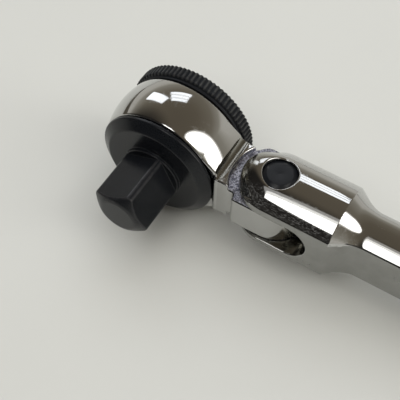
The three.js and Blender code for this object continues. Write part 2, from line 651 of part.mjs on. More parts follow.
function reverseDial() {
  const hubRadius = TOOTH_RING_RADIUS + SEAT - RUN;
  const boreRadius = SPIGOT_RADIUS + RUN;
  const rimRadius = DIAL_RADIUS - DIAL_RIDGE_HEIGHT;
  const dishY = DIAL_BACK_Y - DIAL_DISH_DEPTH;
  const trackY = DIAL_FRONT_Y + DETENT_STAND + RUN;
  const trackHalf = DETENT_BALL_RADIUS;
  const body = turned([
    [boreRadius, DIAL_FRONT_Y],
    [DETENT_CIRCLE - trackHalf, DIAL_FRONT_Y],
    [DETENT_CIRCLE - trackHalf / 2, trackY],
    [DETENT_CIRCLE + trackHalf / 2, trackY],
    [DETENT_CIRCLE + trackHalf, DIAL_FRONT_Y],
    [hubRadius, DIAL_FRONT_Y],
    [hubRadius, DIAL_NECK_Y],
    [DIAL_NECK_RADIUS, DIAL_NECK_Y],
    [DIAL_NECK_RADIUS, DIAL_RIM_Y],
    [rimRadius, DIAL_RIM_Y],
    [rimRadius, DIAL_BACK_Y - DIAL_EDGE],
    [rimRadius - DIAL_EDGE, DIAL_BACK_Y],
    [DIAL_DISH_RADIUS, DIAL_BACK_Y],
    [DIAL_DISH_RADIUS - DIAL_DISH_DEPTH, dishY],
    [DIAL_CLIP_RECESS_RADIUS, dishY],
    [DIAL_CLIP_RECESS_RADIUS, CLIP_SEAT_Y],
    [boreRadius, CLIP_SEAT_Y],
    [boreRadius, DIAL_FRONT_Y],
  ]);
  const ridges = [];
  for (let i = 0; i < 2 * DIAL_RIDGES; i++) {
    const radius = i % 2 ? rimRadius - RUN : DIAL_RADIUS;
    ridges.push(polar(radius, (i * 180) / DIAL_RIDGES));
  }
  const knurl = cut(
    slice(outline(ridges), DIAL_RIM_Y + DIAL_EDGE / 2, DIAL_BACK_Y - DIAL_EDGE),
    turned([
      [0, DIAL_RIM_Y],
      [DIAL_DISH_RADIUS, DIAL_RIM_Y],
      [DIAL_DISH_RADIUS, DIAL_BACK_Y],
      [0, DIAL_BACK_Y],
    ]),
  );
  const pinHoleEnd = DIAL_FRONT_Y + SHIFT_PIN_HOLD + SEAT;
  const pinHole = barY(SHIFT_PIN_RADIUS + SEAT, shiftPinPlace, DIAL_FRONT_Y - PAST, pinHoleEnd);
  return cut(join(body, knurl), pinHole);
}

function ringWasher(inner, outer, y0, y1) {
  return turned([[inner, y0], [outer, y0], [outer, y1], [inner, y1], [inner, y0]]);
}

// Handle: a turned bar with milled sides, a forked end and a rounded grip
function handle() {
  const nose = FORK_NOSE_ROUND;
  const turning = new THREE.Path();
  turning.moveTo(0, FORK_FRONT_X - PAST);
  turning.lineTo(FORK_CROWN_RADIUS - nose, FORK_FRONT_X - PAST);
  turning.lineTo(FORK_CROWN_RADIUS - nose, FORK_FRONT_X);
  turning.absarc(FORK_CROWN_RADIUS - nose, FORK_FRONT_X + nose, nose, -Math.PI / 2, 0, false);
  turning.lineTo(FORK_CROWN_RADIUS, CREASE_X);
  handleProfile(turning, FORK_CROWN_RADIUS, SHANK_CROWN_RADIUS, GRIP_CROWN_RADIUS, (r, x) => [r, x]);
  const bar3d = new THREE.LatheGeometry(turning.getPoints(ARC_STEPS), ROUND);
  const blank = solid(bar3d.rotateZ(-Math.PI / 2).translate(0, MID_Y, 0));

  const plan = new THREE.Path();
  plan.moveTo(FORK_FRONT_X, 0);
  plan.absarc(PIN_DISTANCE, 0, FORK_HALF_WIDTH, Math.PI, Math.PI / 2, true);
  plan.lineTo(CREASE_X, FORK_HALF_WIDTH);
  handleProfile(plan, FORK_HALF_WIDTH, SHANK_HALF_WIDTH, GRIP_HALF_WIDTH, (w, x) => [x, w]);
  const tall = FORK_CROWN_RADIUS + GRIP_CROWN_RADIUS;
  const sides = slab(mirrored(plan), -tall, tall);

  const slotX = PIN_DISTANCE + SLOT_DEPTH;
  const slotShape = new THREE.Shape();
  slotShape.moveTo(FORK_FRONT_X - 2 * PAST, -SLOT_HALF_HEIGHT);
  slotShape.lineTo(slotX, -SLOT_HALF_HEIGHT);
  slotShape.absarc(slotX, 0, SLOT_HALF_HEIGHT, -Math.PI / 2, Math.PI / 2, false);
  slotShape.lineTo(FORK_FRONT_X - 2 * PAST, SLOT_HALF_HEIGHT);
  const slotWide = FORK_HALF_WIDTH + PAST;
  const slot = slice(slotShape, MID_Y - slotWide, MID_Y + slotWide);

  const holeRadius = PIN_RADIUS + SEAT;
  const top = FORK_CROWN_RADIUS + PAST;
  const hole = barZ(holeRadius, PIN_DISTANCE, -top, top, ROUND);
  const chamferZ = PIN_HALF_LENGTH - PIN_CHAMFER;
  const chamfer = (side) => barZ(
    holeRadius, PIN_DISTANCE, side * chamferZ, side * top, ROUND,
    holeRadius + HOLE_CHAMFER * (top - chamferZ),
  );
  const bore = barX(PLUNGER_RADIUS + RUN, slotX, PLUNGER_BORE_X);
  return cut(blank.intersect(sides), slot, hole, chamfer(1), chamfer(-1), bore);
}

// The shoulder, shank, swell, grip and rounded end, from half sizes at fork, shank and grip.
function handleProfile(path, fork, shank, grip, place) {
  const filletX = CREASE_X + SHOULDER_LENGTH;
  const cone = fork - (fork - shank) * SHOULDER_DROP;
  const meetX = CREASE_X + SHOULDER_LENGTH / SHOULDER_DROP;
  path.lineTo(...place(cone, filletX));
  path.quadraticCurveTo(...place(shank, meetX), ...place(shank, SHANK_X));
  path.lineTo(...place(shank, SWELL_X));
  const half = SWELL_LENGTH / 2;
  path.bezierCurveTo(
    ...place(shank, SWELL_X + half),
    ...place(grip, GRIP_X - half),
    ...place(grip, GRIP_X),
  );
  path.lineTo(...place(grip, GRIP_END_X));
  path.bezierCurveTo(
    ...place(grip, GRIP_END_X + GRIP_END_LENGTH * GRIP_END_FULLNESS),
    ...place(grip * GRIP_END_FULLNESS, HANDLE_END_X),
    ...place(0, HANDLE_END_X),
  );
}

function hingePin() {
  const straight = PIN_HALF_LENGTH - PIN_CHAMFER;
  const small = PIN_RADIUS - PIN_CHAMFER;
  return join(
    barZ(PIN_RADIUS, PIN_DISTANCE, -straight, straight, ROUND),
    barZ(PIN_RADIUS, PIN_DISTANCE, straight, PIN_HALF_LENGTH, ROUND, small),
    barZ(PIN_RADIUS, PIN_DISTANCE, -straight, -PIN_HALF_LENGTH, ROUND, small),
  );
}

function flexPlunger() {
  const shoulder = PLUNGER_TIP_X + PLUNGER_RADIUS;
  const dome = new THREE.SphereGeometry(PLUNGER_RADIUS, SMALL_ROUND, SMALL_ROUND / 2);
  dome.rotateZ(Math.PI / 2).translate(shoulder, MID_Y, 0);
  return join(solid(dome), barX(PLUNGER_RADIUS, shoulder, PLUNGER_BACK_X));
}

function ball(radius, x, y, z) {
  const geometry = new THREE.SphereGeometry(radius, SMALL_ROUND, SMALL_ROUND / 2);
  return solid(geometry.translate(x, y, z));
}

function frontSeal() {
  const radius = BEARING_RADIUS - SEAL_WIRE / 2;
  const geometry = new THREE.TorusGeometry(radius, SEAL_WIRE / 2, SEAL_SIDES, ROUND);
  return solid(geometry.rotateX(Math.PI / 2).translate(0, sealY, 0));
}

function snapRing() {
  const half = CLIP_OPENING / 2;
  const shape = sector(CLIP_GROOVE_RADIUS + SEAT, CLIP_OUTER_RADIUS, half, 360 - half);
  const geometry = new THREE.ExtrudeGeometry(shape, {
    depth: CLIP_THICKNESS,
    bevelEnabled: false,
    curveSegments: SMALL_ROUND,
  });
  return solid(geometry.rotateX(Math.PI / 2).translate(0, CLIP_Y + CLIP_THICKNESS, 0));
}

piece("handle", handle(), chrome);
piece("hinge_pin", hingePin(), blackened);
piece("flex_plunger", flexPlunger(), steel);
spring(
  "flex_spring", PLUNGER_WIRE, PLUNGER_RADIUS, PLUNGER_SPRING_TURNS,
  new THREE.Vector3(PLUNGER_BACK_X + GAP, MID_Y, 0),
  new THREE.Vector3(PLUNGER_BORE_X - GAP, MID_Y, 0),
);

piece("head_body", headBody(), chrome);
piece("tooth_ring", toothRing(), steel);
piece("front_seal", frontSeal(), rubber);
piece("drive_anvil", driveAnvil(), blackened);
piece("drive_ball", ball(DRIVE_BALL_RADIUS, ...fromBallAxis(ballCentre)), steel);
spring(
  "drive_ball_spring", DRIVE_SPRING_WIRE, DRIVE_BALL_RADIUS, DRIVE_SPRING_TURNS,
  fromBallAxis(ballSpringStart), fromBallAxis(ballSpringStart + DRIVE_SPRING_LENGTH - GAP),
);

piece("pawl_right", pawl(1, false), steel);
piece("pawl_left", pawl(-1, true), steel);
for (const [name, side] of [["right", 1], ["left", -1]]) {
  const pin = barY(PAWL_PIN_RADIUS, pivotOf(side), FLANGE_BACK_Y + GAP, PLATE_BACK_Y);
  piece(`pawl_pin_${name}`, pin, steel);
}
spring(
  "pawl_spring_right", SMALL_WIRE, PAWL_SPRING_RADIUS, PAWL_SPRING_TURNS,
  acrossDrive(pawlSpringBase, springAngle),
  acrossDrive(pawlSpringOut, springAngle),
);
spring(
  "pawl_spring_left", SMALL_WIRE, PAWL_SPRING_RADIUS, PAWL_SPRING_TURNS,
  acrossDrive(pawlSpringBase, -springAngle),
  acrossDrive(pawlSpringIn, -springAngle),
);
piece("carrier_plate", carrierPlate(), steel);
piece("detent_ball", ball(DETENT_BALL_RADIUS, detentPlace[0], detentBallY, detentPlace[1]), steel);
spring(
  "detent_spring", SMALL_WIRE, DETENT_BALL_RADIUS, DETENT_SPRING_TURNS,
  new THREE.Vector3(detentPlace[0], detentHoleY + GAP, detentPlace[1]),
  new THREE.Vector3(detentPlace[0], detentBallY - DETENT_BALL_RADIUS, detentPlace[1]),
);

piece("reverse_dial", reverseDial(), blackened);
piece(
  "shift_pin",
  barY(SHIFT_PIN_RADIUS, shiftPinPlace, DRUM_BACK_Y - SHIFT_PIN_REACH, DIAL_FRONT_Y + SHIFT_PIN_HOLD),
  steel,
);
const washerY = RING_BACK_Y + RUN;
piece(
  "dial_washer",
  ringWasher(TOOTH_RING_RADIUS + SEAT, DIAL_NECK_RADIUS - RUN, washerY, washerY + WASHER_THICKNESS),
  bronze,
);
piece("dial_snap_ring", snapRing(), steel);

export default group;
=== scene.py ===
"""Flex head ratchet: fine surfaces, finishes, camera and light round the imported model."""

import itertools
import json
import math

import bpy
import numpy as np
from mathutils import Matrix, Vector


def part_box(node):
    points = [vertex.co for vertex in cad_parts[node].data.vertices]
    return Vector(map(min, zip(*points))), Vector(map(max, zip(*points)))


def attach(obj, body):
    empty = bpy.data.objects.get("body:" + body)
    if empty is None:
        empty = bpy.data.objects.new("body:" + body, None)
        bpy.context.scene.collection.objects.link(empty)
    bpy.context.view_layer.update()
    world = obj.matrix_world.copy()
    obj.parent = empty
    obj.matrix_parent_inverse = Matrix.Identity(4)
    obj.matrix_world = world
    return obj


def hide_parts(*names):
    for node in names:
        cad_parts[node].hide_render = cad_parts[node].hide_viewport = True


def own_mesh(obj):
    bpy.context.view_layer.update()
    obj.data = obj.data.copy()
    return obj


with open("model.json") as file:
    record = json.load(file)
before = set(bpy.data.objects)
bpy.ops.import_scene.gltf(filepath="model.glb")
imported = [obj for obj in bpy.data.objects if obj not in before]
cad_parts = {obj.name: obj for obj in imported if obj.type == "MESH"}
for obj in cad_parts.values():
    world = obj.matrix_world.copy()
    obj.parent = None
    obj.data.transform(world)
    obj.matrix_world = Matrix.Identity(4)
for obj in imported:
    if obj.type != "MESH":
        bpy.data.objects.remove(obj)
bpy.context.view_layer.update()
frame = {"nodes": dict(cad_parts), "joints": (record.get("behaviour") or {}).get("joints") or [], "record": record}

MM = 0.001  # forms are drawn in millimetres, and objects are in metres


def ends(node):
    """The lowest and highest corners of a CAD node, in millimetres."""
    return [np.array(corner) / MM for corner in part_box(node)]


# Places and sizes from the frame
joints = {joint["name"]: joint for joint in frame["joints"]}
PIN_X, MID_Y, _ = np.array(joints["head_flex"]["pos_m"]) / MM
DIAL_SETTING = math.radians(joints["dial_turn"]["range_deg"][1])
head_low, head_high = ends("head_body")
handle_low, handle_high = ends("handle")
pin_low, pin_high = ends("hinge_pin")
drive_low, drive_high = ends("drive_anvil")
tooth_low, tooth_high = ends("tooth_ring")
seal_low, seal_high = ends("front_seal")
plate_low, plate_high = ends("carrier_plate")
dial_low, dial_high = ends("reverse_dial")
washer_low, washer_high = ends("dial_washer")
clip_low, clip_high = ends("dial_snap_ring")
ball_low, ball_high = ends("drive_ball")
detent_low, detent_high = ends("detent_ball")
shift_low, shift_high = ends("shift_pin")
plunger_low, plunger_high = ends("flex_plunger")
_, flex_spring_high = ends("flex_spring")
detent_spring_low, _ = ends("detent_spring")
pawl_spring_low, pawl_spring_high = ends("pawl_spring_right")

# Fits
RUN = 0.12  # between faces that slide on each other
SEAT = 0.06  # between faces that stay together
GAP = 0.3  # open room

# Head ring
RING_CROWN = head_high[2]
RING_FRONT_LENGTH = 6.4
RING_CROWN_Y = 28.2
RING_CROWN_ROUND = 21.0
RING_EDGE = 0.4
RING_FRONT_Y = MID_Y - RING_FRONT_LENGTH
RING_BACK_Y = washer_low[1] - RUN
BEARING_RADIUS = seal_high[0]
TOOTH_RADIUS = tooth_high[0]
TOOTH_FRONT_Y = tooth_low[1] - SEAT
BORE_EDGE = 0.25

# Neck and tongue
NECK_HALF_HEIGHT = 7.0
NECK_HALF_WIDTH = 7.6
NECK_FRONT_X = 17.55
NECK_CORNER = 0.8
NECK_RAMP = math.radians(45)  # where the ring runs off straight to the neck
NECK_RAMP_X = RING_CROWN * math.cos(NECK_RAMP)
NECK_RAMP_CROWNING = 0.45  # share of the ring's crowning that the ramp ends with
NECK_GROOVE_X = 19.0
NECK_GROOVE_Z = 8.6
NECK_GROOVE_RADIUS = 1.65
NECK_GROOVE_EDGE = 0.1
NECK_SIDE_FILLET = 0.8
NECK_EDGE = 0.55
COVE_RADIUS = 13.1
TONGUE_HALF_HEIGHT = 5.37
TONGUE_HALF_WIDTH = head_high[1] - MID_Y
TONGUE_FRONT_X = 24.1
TONGUE_FILLET = 0.9
TONGUE_ROOT_FILLET = 0.2
TONGUE_EDGE = 0.8
TONGUE_BORE_EDGE = 0.3
SHOULDER_RADIUS = 13.4  # the far shoulder ends on a circle round the pin
SHOULDER_WIDTH = 10.7
SHOULDER_BACK_X = 28.0

# Hinge pin
PIN_TRIM = 0.28  # off the solid's radius
PIN_RADIUS = (pin_high[0] - pin_low[0]) / 2 - PIN_TRIM
PIN_HALF_LENGTH = pin_high[2]
PIN_FLAT_RADIUS = 3.45
PIN_CHAMFER = 0.7
PIN_EDGE = 0.12
PIN_SIDES = 128

# Fork, shoulder, shank and grip
FORK_HALF_WIDTH = PIN_X - handle_low[0]
FORK_CROWN = 12.66
FORK_NOSE_ROUND = 4.9
FORK_NOSE_LOW = 6.4  # least height of the nose's rounded edge, just above the slot
FORK_NOSE_BLEND = 4  # larger for a sharper change from the rounding to its least height
FORK_NOSE_START, FORK_NOSE_WHOLE = 0.05, 0.7  # cosine of the angle from straight ahead of the pin
LEAST_INTO, LEAST_DROP, LEAST_REACH = 0.01, 0.05, 0.1  # keep the nose's quotients finite
CREASE_X = 52.1
SLOPE_LENGTH = 3.0
BEND_LENGTH = 5.1
SHANK_X = CREASE_X + SLOPE_LENGTH + BEND_LENGTH
SHANK_CROWN = 9.2
SHANK_HALF_WIDTH = 6.35
SWELL_X = 145.5
GRIP_X = 190.5
GRIP_CROWN = handle_high[2]
GRIP_HALF_WIDTH = 8.4
GRIP_END_LENGTH = 13.0
GRIP_END_X = handle_high[0] - GRIP_END_LENGTH
SIDE_EDGE = 0.45
SLOT_HALF_HEIGHT = TONGUE_HALF_HEIGHT + GAP
SLOT_DEPTH = 8.0  # from the pin to the middle of the slot's round end
SLOT_X = PIN_X + SLOT_DEPTH
SLOT_EDGE = 0.35
HOLE_EDGE = 0.55
PLUNGER_BORE_EDGE = 0.2

# Drive
SQUARE_HALF = 6.35
SQUARE_TURN = math.radians(23.5)  # of a side's direction from the handle's
SQUARE_CORNER = 8.35
SQUARE_EDGE = 0.3
TIP_RADIUS = 5.3
TIP_LENGTH = 1.8
COLLAR_RADIUS = 8.5
COLLAR_Y = 16.1
COLLAR_FILLET = 0.08
FLANGE_FACE_Y = 17.1
FLANGE_FACE_RADIUS = 14.4
FLANGE_RADIUS = drive_high[0]
FLANGE_RIM_Y = 19.1
FLANGE_BACK_Y = RING_FRONT_Y - GAP
FLANGE_EDGE = 0.16
SEAL_GROOVE_RADIUS = seal_high[0] - (seal_high[1] - seal_low[1]) - GAP
DRUM_RADIUS = plate_high[0]
DRUM_FRONT_Y = TOOTH_FRONT_Y - GAP
DRUM_BACK_Y = plate_low[1] - SEAT
DRUM_EDGE = 0.15
BAY_WALL = 0.8
BAY_FRONT_Y = DRUM_FRONT_Y + BAY_WALL
BAY_ANGLE = math.radians(87)
HUB_RADIUS = 7.4
SPIGOT_RADIUS = 5.0
SPIGOT_EDGE = 0.3

# Snap ring
CLIP_GROOVE_RADIUS = 4.4
CLIP_OPENING = math.radians(15)  # to each side of straight up
CLIP_EDGE = 0.12
CLIP_END_EDGE = 0.1

# Balls, which the solids make from flat facets
BALL_MIDDLE = (ball_low + ball_high) / 2
BALL_RADIUS = (ball_high[0] - ball_low[0]) / 2
BALL_OUT = BALL_MIDDLE * [1, 0, 1] / math.hypot(BALL_MIDDLE[0], BALL_MIDDLE[2])
BALL_SIDES = 96
DETENT_MIDDLE = (detent_low + detent_high) / 2
DETENT_RADIUS = detent_high[1] - DETENT_MIDDLE[1]
DETENT_HALF_WIDTH = (detent_high[0] - detent_low[0]) / 2
DETENT_CIRCLE = abs(DETENT_MIDDLE[2])
DETENT_SIDES = 64
GLOBE_STEPS = 48

# Dial
DIAL_RIDGES = 85
RIDGE_STEPS = 8
RIDGE_DEPTH = 0.42
RIDGE_START, RIDGE_WHOLE = 1.0, 0.35  # how far in from the rim the ridges start and are whole
DIAL_BORE = SPIGOT_RADIUS + RUN
DIAL_FRONT_Y, DIAL_BACK_Y = dial_low[1], dial_high[1]
DIAL_RADIUS = dial_high[0]
DIAL_RIM_Y = 35.94
DIAL_RIM_LEAN = 0.2
DIAL_FRONT_BEVEL = 0.25
DIAL_BEVEL = 0.3
DIAL_EDGE = 0.18
DIAL_EDGE_STEPS = 4
DIAL_DISH_RADIUS = 15.2
DIAL_DISH_DEPTH = 0.65
DIAL_RECESS_RADIUS = 8.2
DIAL_NECK_RADIUS = washer_high[0] + RUN

# Washer and plunger
WASHER_RADIUS = 17.0
WASHER_EDGE = 0.08
WASHER_SIDES = 160
PLUNGER_BEVEL = 0.2
PLUNGER_SIDES = 64
DOME_STEPS = 24

# Coil springs
COIL_STEPS = 32  # to a turn
COIL_SIDES = 12
SMALL_WIRE = 0.45
FLEX_COIL = (2.4, 0.7, 5)  # a coil's outside radius, its wire and its turns
BALL_COIL = (ball_high[1] - BALL_MIDDLE[1], 0.8, 3)
PAWL_COIL = (1.4, SMALL_WIRE, 4)
DETENT_COIL = (DETENT_RADIUS, SMALL_WIRE, 4)
FLEX_COIL_SEAT = 0.05  # past the solid's end
BALL_COIL_HALF_LENGTH = 2.35
PAWL_SPRING_ANGLE = math.radians(65.5)  # from straight up
PAWL_SPRING_BASE, PAWL_SPRING_OUT, PAWL_SPRING_IN = 4.8, 10.5, 8.8  # from the drive's axis
PAWL_SPRING_Y = (pawl_spring_low[1] + pawl_spring_high[1]) / 2

# Grids of the fine surfaces
GRID = 0.3
GRIP_GRID = 1.0
CLIP_GRID = 0.15
GRID_MARGIN = 2.5  # steps round a piece's box
FORK_MARGIN, FINE_SHANK, GRIP_MARGIN = 1.0, 4.0, 3.0  # before the fork, on the shank, after the grip
SLOPE_REACH = 0.02  # to each side of a point, for its slope
LEAST_SLOPE = 1e-6  # keeps a quotient finite
FIRST_ROUNDS, SMOOTH_PASSES, SMOOTH_ROUNDS = 4, 2, 2  # of settling points, and of smoothing them
ON_AXIS, POLE_ANGLE = 0.001, 0.01  # how near a turned outline comes to its axis
TRIM_SHARE = 0.45  # of a side, that a rounded corner may take
NEARLY_ALONG = 0.9  # cosine of the angle between two directions

# Where finishes change
EDGE_REACH = 0.25  # to each side of a point, for its bend
EDGE_BEND_START, EDGE_BEND_WHOLE = 0.35, 1.6
SIDE_FACING, LEDGE_FACING, GROOVE_FACING = 0.8, 0.75, 0.5  # shares of a normal along one axis
COVE_BAND, LEDGE_BAND, GROOVE_BAND = 0.2, 0.5, 0.1
# Strengths of the masks that paint shade on the head's sides and in its neck groove.
HEAD_GROUND_AND_SHADE, GROOVE_SHADE = 0.4, 0.9  # strengths of these masks
GROUND_START_X = PIN_X - 6  # the handle's flat sides are finished by grinding, and given painted shade, from here on
SLOT_BAND, SLOT_SIDE_BAND, SLOT_INSIDE_X = 0.1, 0.3, 50.0
NOSE_SHADE_START, NOSE_SHADE_END, NOSE_SHADE = 2.2, 5.6, 0.85
SCUFF_START, SCUFF_WHOLE = 4.6, 6.6
SQUARE_BAND, SQUARE_RUB, FLANGE_RUB = 0.1, 1.0, 0.2
RIDGE_TOP, RIM_BAND = 0.45, 0.5


# Fields: each gives a distance at points, negative inside
def meet(a, b, edge=0.0):
    """What two solids have in common, with its edge rounded."""
    corner = np.hypot(np.maximum(a + edge, 0), np.maximum(b + edge, 0))
    return np.minimum(np.maximum(a, b), -edge) + corner


def merge(a, b, fillet=0.0):
    """Two solids in one, with a fillet where they meet."""
    return -meet(-a, -b, fillet)


def cut(a, b, edge=0.0):
    """What a second solid leaves of a first, with the edge of the cut rounded."""
    return meet(a, -b, edge)


def between(value, low, high):
    """How far a value lies outside a range."""
    return np.maximum(low - value, value - high)


def ramp(value, low, high):
    """Rises smoothly from 0 to 1 as a value goes from low to high."""
    share = np.clip((value - low) / (high - low), 0, 1)
    return share * share * (3 - 2 * share)


def near(value, target, reach):
    """Whether a value lies within reach of a target."""
    return np.abs(value - target) < reach


def head_field(x, y, z):
    """The ring, the neck and the tongue, with the bores of the drive and the pin."""
    along, high = y - MID_Y, np.abs(z)
    wide, rho = np.abs(along), np.hypot(x, z)
    from_pin = np.hypot(x - PIN_X, along)
    drop = (y - RING_CROWN_Y) ** 2 / (2 * RING_CROWN_ROUND)
    crowning = 1 + (NECK_RAMP_CROWNING - 1) * ramp(x, NECK_RAMP_X, NECK_GROOVE_X)
    above_ramp = x * math.cos(NECK_RAMP) + high * math.sin(NECK_RAMP) - RING_CROWN + crowning * drop
    ramp_ends = between(x, NECK_RAMP_X, PIN_X - COVE_RADIUS)
    ring = np.minimum(rho - RING_CROWN + drop, np.maximum(above_ramp, ramp_ends))
    barrel = meet(ring, between(y, RING_FRONT_Y, RING_BACK_Y), RING_EDGE)

    plan = meet(wide - NECK_HALF_WIDTH, NECK_FRONT_X - x, NECK_CORNER)
    neck = meet(plan, high - NECK_HALF_HEIGHT, NECK_EDGE)
    neck = meet(neck, np.maximum(COVE_RADIUS - from_pin, x - PIN_X), NECK_EDGE)
    groove = np.hypot(x - NECK_GROOVE_X, high - NECK_GROOVE_Z) - NECK_GROOVE_RADIUS
    body = cut(merge(barrel, neck, NECK_SIDE_FILLET), groove, NECK_GROOVE_EDGE)

    stem = np.maximum(plan, x - PIN_X)
    eye = np.hypot(np.maximum(x - PIN_X, 0), along) - TONGUE_HALF_WIDTH
    shoulder = meet(along - SHOULDER_WIDTH, from_pin - SHOULDER_RADIUS, TONGUE_EDGE)
    shoulder = np.maximum(shoulder, np.maximum(x - SHOULDER_BACK_X, -along))
    eye = np.minimum(meet(eye, TONGUE_FRONT_X - x, TONGUE_EDGE), shoulder)
    tongue = merge(stem, eye, TONGUE_FILLET)
    tongue = meet(tongue, high - TONGUE_HALF_HEIGHT, TONGUE_EDGE)
    body = merge(body, tongue, TONGUE_ROOT_FILLET)

    bearing = rho - BEARING_RADIUS - RUN
    seat = np.maximum(rho - TOOTH_RADIUS - SEAT, TOOTH_FRONT_Y - y)
    body = cut(body, np.minimum(bearing, seat), BORE_EDGE)
    return cut(body, from_pin - PIN_RADIUS - RUN, TONGUE_BORE_EDGE)


def handle_sizes(x):
    """The crown's radius and the half width between the flat sides, along the handle."""
    run = np.clip(x - CREASE_X, 0, SLOPE_LENGTH + BEND_LENGTH)
    bend = np.maximum(run - SLOPE_LENGTH, 0)
    fall = (run - bend**2 / (2 * BEND_LENGTH)) / (SLOPE_LENGTH + BEND_LENGTH / 2)
    swell = ramp(x, SWELL_X, GRIP_X)
    crown = FORK_CROWN + (SHANK_CROWN - FORK_CROWN) * fall + (GRIP_CROWN - SHANK_CROWN) * swell
    half = FORK_HALF_WIDTH + (SHANK_HALF_WIDTH - FORK_HALF_WIDTH) * fall
    return crown, half + (GRIP_HALF_WIDTH - SHANK_HALF_WIDTH) * swell


def nose_drop(x, wide, from_pin):
    """How far the fork's crown is rounded down round its nose."""
    into = np.clip(from_pin - FORK_HALF_WIDTH + FORK_NOSE_ROUND, LEAST_INTO, FORK_NOSE_ROUND)
    drop = FORK_NOSE_ROUND - np.sqrt(FORK_NOSE_ROUND**2 - into**2)
    most = np.maximum(FORK_CROWN - np.hypot(FORK_NOSE_LOW, wide), LEAST_DROP)
    drop = (drop**-FORK_NOSE_BLEND + most**-FORK_NOSE_BLEND) ** (-1 / FORK_NOSE_BLEND)
    ahead = (PIN_X - x) / np.maximum(from_pin, LEAST_REACH)
    return drop * ramp(ahead, FORK_NOSE_START, FORK_NOSE_WHOLE)


def handle_field(x, y, z):
    """The forked end, shoulder, shank and grip, with the slot, the pin's hole and the plunger's bore."""
    wide = np.abs(y - MID_Y)
    rho = np.hypot(wide, z)
    from_pin = np.hypot(x - PIN_X, wide)
    crown, half = handle_sizes(x)
    crown = crown - nose_drop(x, wide, from_pin)
    end = np.maximum(x - GRIP_END_X, 0) / GRIP_END_LENGTH
    round_form = (np.hypot(rho / crown, end) - 1) * crown
    flat_sides = (np.hypot(wide / half, end) - 1) * half
    body = meet(round_form, np.where(x < PIN_X, from_pin - FORK_HALF_WIDTH, flat_sides), SIDE_EDGE)
    slot = np.hypot(np.maximum(x - SLOT_X, 0), z) - SLOT_HALF_HEIGHT
    bore_ends = between(x, SLOT_X, flex_spring_high[0] + GAP)
    bore = np.maximum(rho - (plunger_high[2] + RUN), bore_ends)
    body = cut(body, from_pin - PIN_RADIUS - SEAT, HOLE_EDGE)
    return cut(cut(body, slot, SLOT_EDGE), bore, PLUNGER_BORE_EDGE)


def drive_field(x, y, z):
    """The square, collar, flange, journal, drum and spigot, with the rooms in them."""
    rho = np.hypot(x, z)
    u = np.abs(x * math.cos(SQUARE_TURN) + z * math.sin(SQUARE_TURN))
    v = np.abs(z * math.cos(SQUARE_TURN) - x * math.sin(SQUARE_TURN))
    square = meet(u - SQUARE_HALF, v - SQUARE_HALF)
    square = meet(square, (u + v) / math.sqrt(2) - SQUARE_CORNER, SQUARE_EDGE)
    lean = (SQUARE_CORNER - TIP_RADIUS) / TIP_LENGTH
    cone = (rho - TIP_RADIUS - lean * y) / math.hypot(1, lean)
    square = meet(meet(square, cone, SQUARE_EDGE), between(y, 0, FLANGE_RIM_Y), SQUARE_EDGE)

    collar = meet(rho - COLLAR_RADIUS, between(y, COLLAR_Y, FLANGE_RIM_Y), FLANGE_EDGE)
    fall, reach = FLANGE_RIM_Y - FLANGE_FACE_Y, FLANGE_RADIUS - FLANGE_FACE_RADIUS
    bevel = (rho - FLANGE_FACE_RADIUS) * fall - (y - FLANGE_FACE_Y) * reach
    bevel = bevel / math.hypot(fall, reach)
    flange = meet(meet(FLANGE_FACE_Y - y, bevel, FLANGE_EDGE), rho - FLANGE_RADIUS, FLANGE_EDGE)
    flange = meet(flange, y - FLANGE_BACK_Y, FLANGE_EDGE / 2)
    outside = merge(np.minimum(square, collar), flange, COLLAR_FILLET)

    journal = meet(rho - BEARING_RADIUS, between(y, FLANGE_RIM_Y, DRUM_FRONT_Y), DRUM_EDGE)
    groove = between(y, seal_low[1] - SEAT, seal_high[1] + SEAT)
    journal = cut(journal, np.maximum(groove, SEAL_GROOVE_RADIUS - rho))
    drum = meet(rho - DRUM_RADIUS, between(y, FLANGE_RIM_Y, DRUM_BACK_Y), DRUM_EDGE)
    spigot = meet(rho - SPIGOT_RADIUS, between(y, FLANGE_RIM_Y, drive_high[1]), SPIGOT_EDGE)
    notch = between(y, clip_low[1] - SEAT, clip_high[1] + SEAT)
    spigot = cut(spigot, np.maximum(notch, CLIP_GROOVE_RADIUS - rho))
    body = np.minimum(np.minimum(outside, journal), np.minimum(drum, spigot))
    return np.maximum(body, -drive_rooms(x, y, z, rho))


def drive_rooms(x, y, z, rho):
    """The rooms cut in the drive: the pawls' bay, the shift pin's track and the balls' holes."""
    back_y = DRUM_BACK_Y + GAP
    angle = np.abs(np.arctan2(x, z))
    bay = np.maximum(HUB_RADIUS - rho, (angle - BAY_ANGLE) * rho)
    rooms = np.maximum(bay, between(y, BAY_FRONT_Y, back_y))

    shift_radius = (shift_high[0] - shift_low[0]) / 2 + GAP
    shift_x, _, shift_z = (shift_low + shift_high) / 2
    circle = math.hypot(shift_x, shift_z)
    sweep = np.maximum(angle - DIAL_SETTING / 2, 0) * circle
    track = np.hypot(rho - circle, sweep) - shift_radius
    rooms = np.minimum(rooms, np.maximum(track, between(y, shift_low[1] - GAP, back_y)))

    out_x, _, out_z = BALL_OUT
    across = np.hypot(x * out_z - z * out_x, y - BALL_MIDDLE[1])
    hole = np.maximum(across - (BALL_RADIUS + RUN), -(x * out_x + z * out_z) - HUB_RADIUS / 2)
    rooms = np.minimum(rooms, np.maximum(hole, y - FLANGE_FACE_Y))

    from_detent = np.hypot(x - DETENT_MIDDLE[0], z - DETENT_MIDDLE[2])
    deep = between(y, detent_spring_low[1] - GAP, back_y)
    return np.minimum(rooms, np.maximum(from_detent - (DETENT_HALF_WIDTH + RUN), deep))


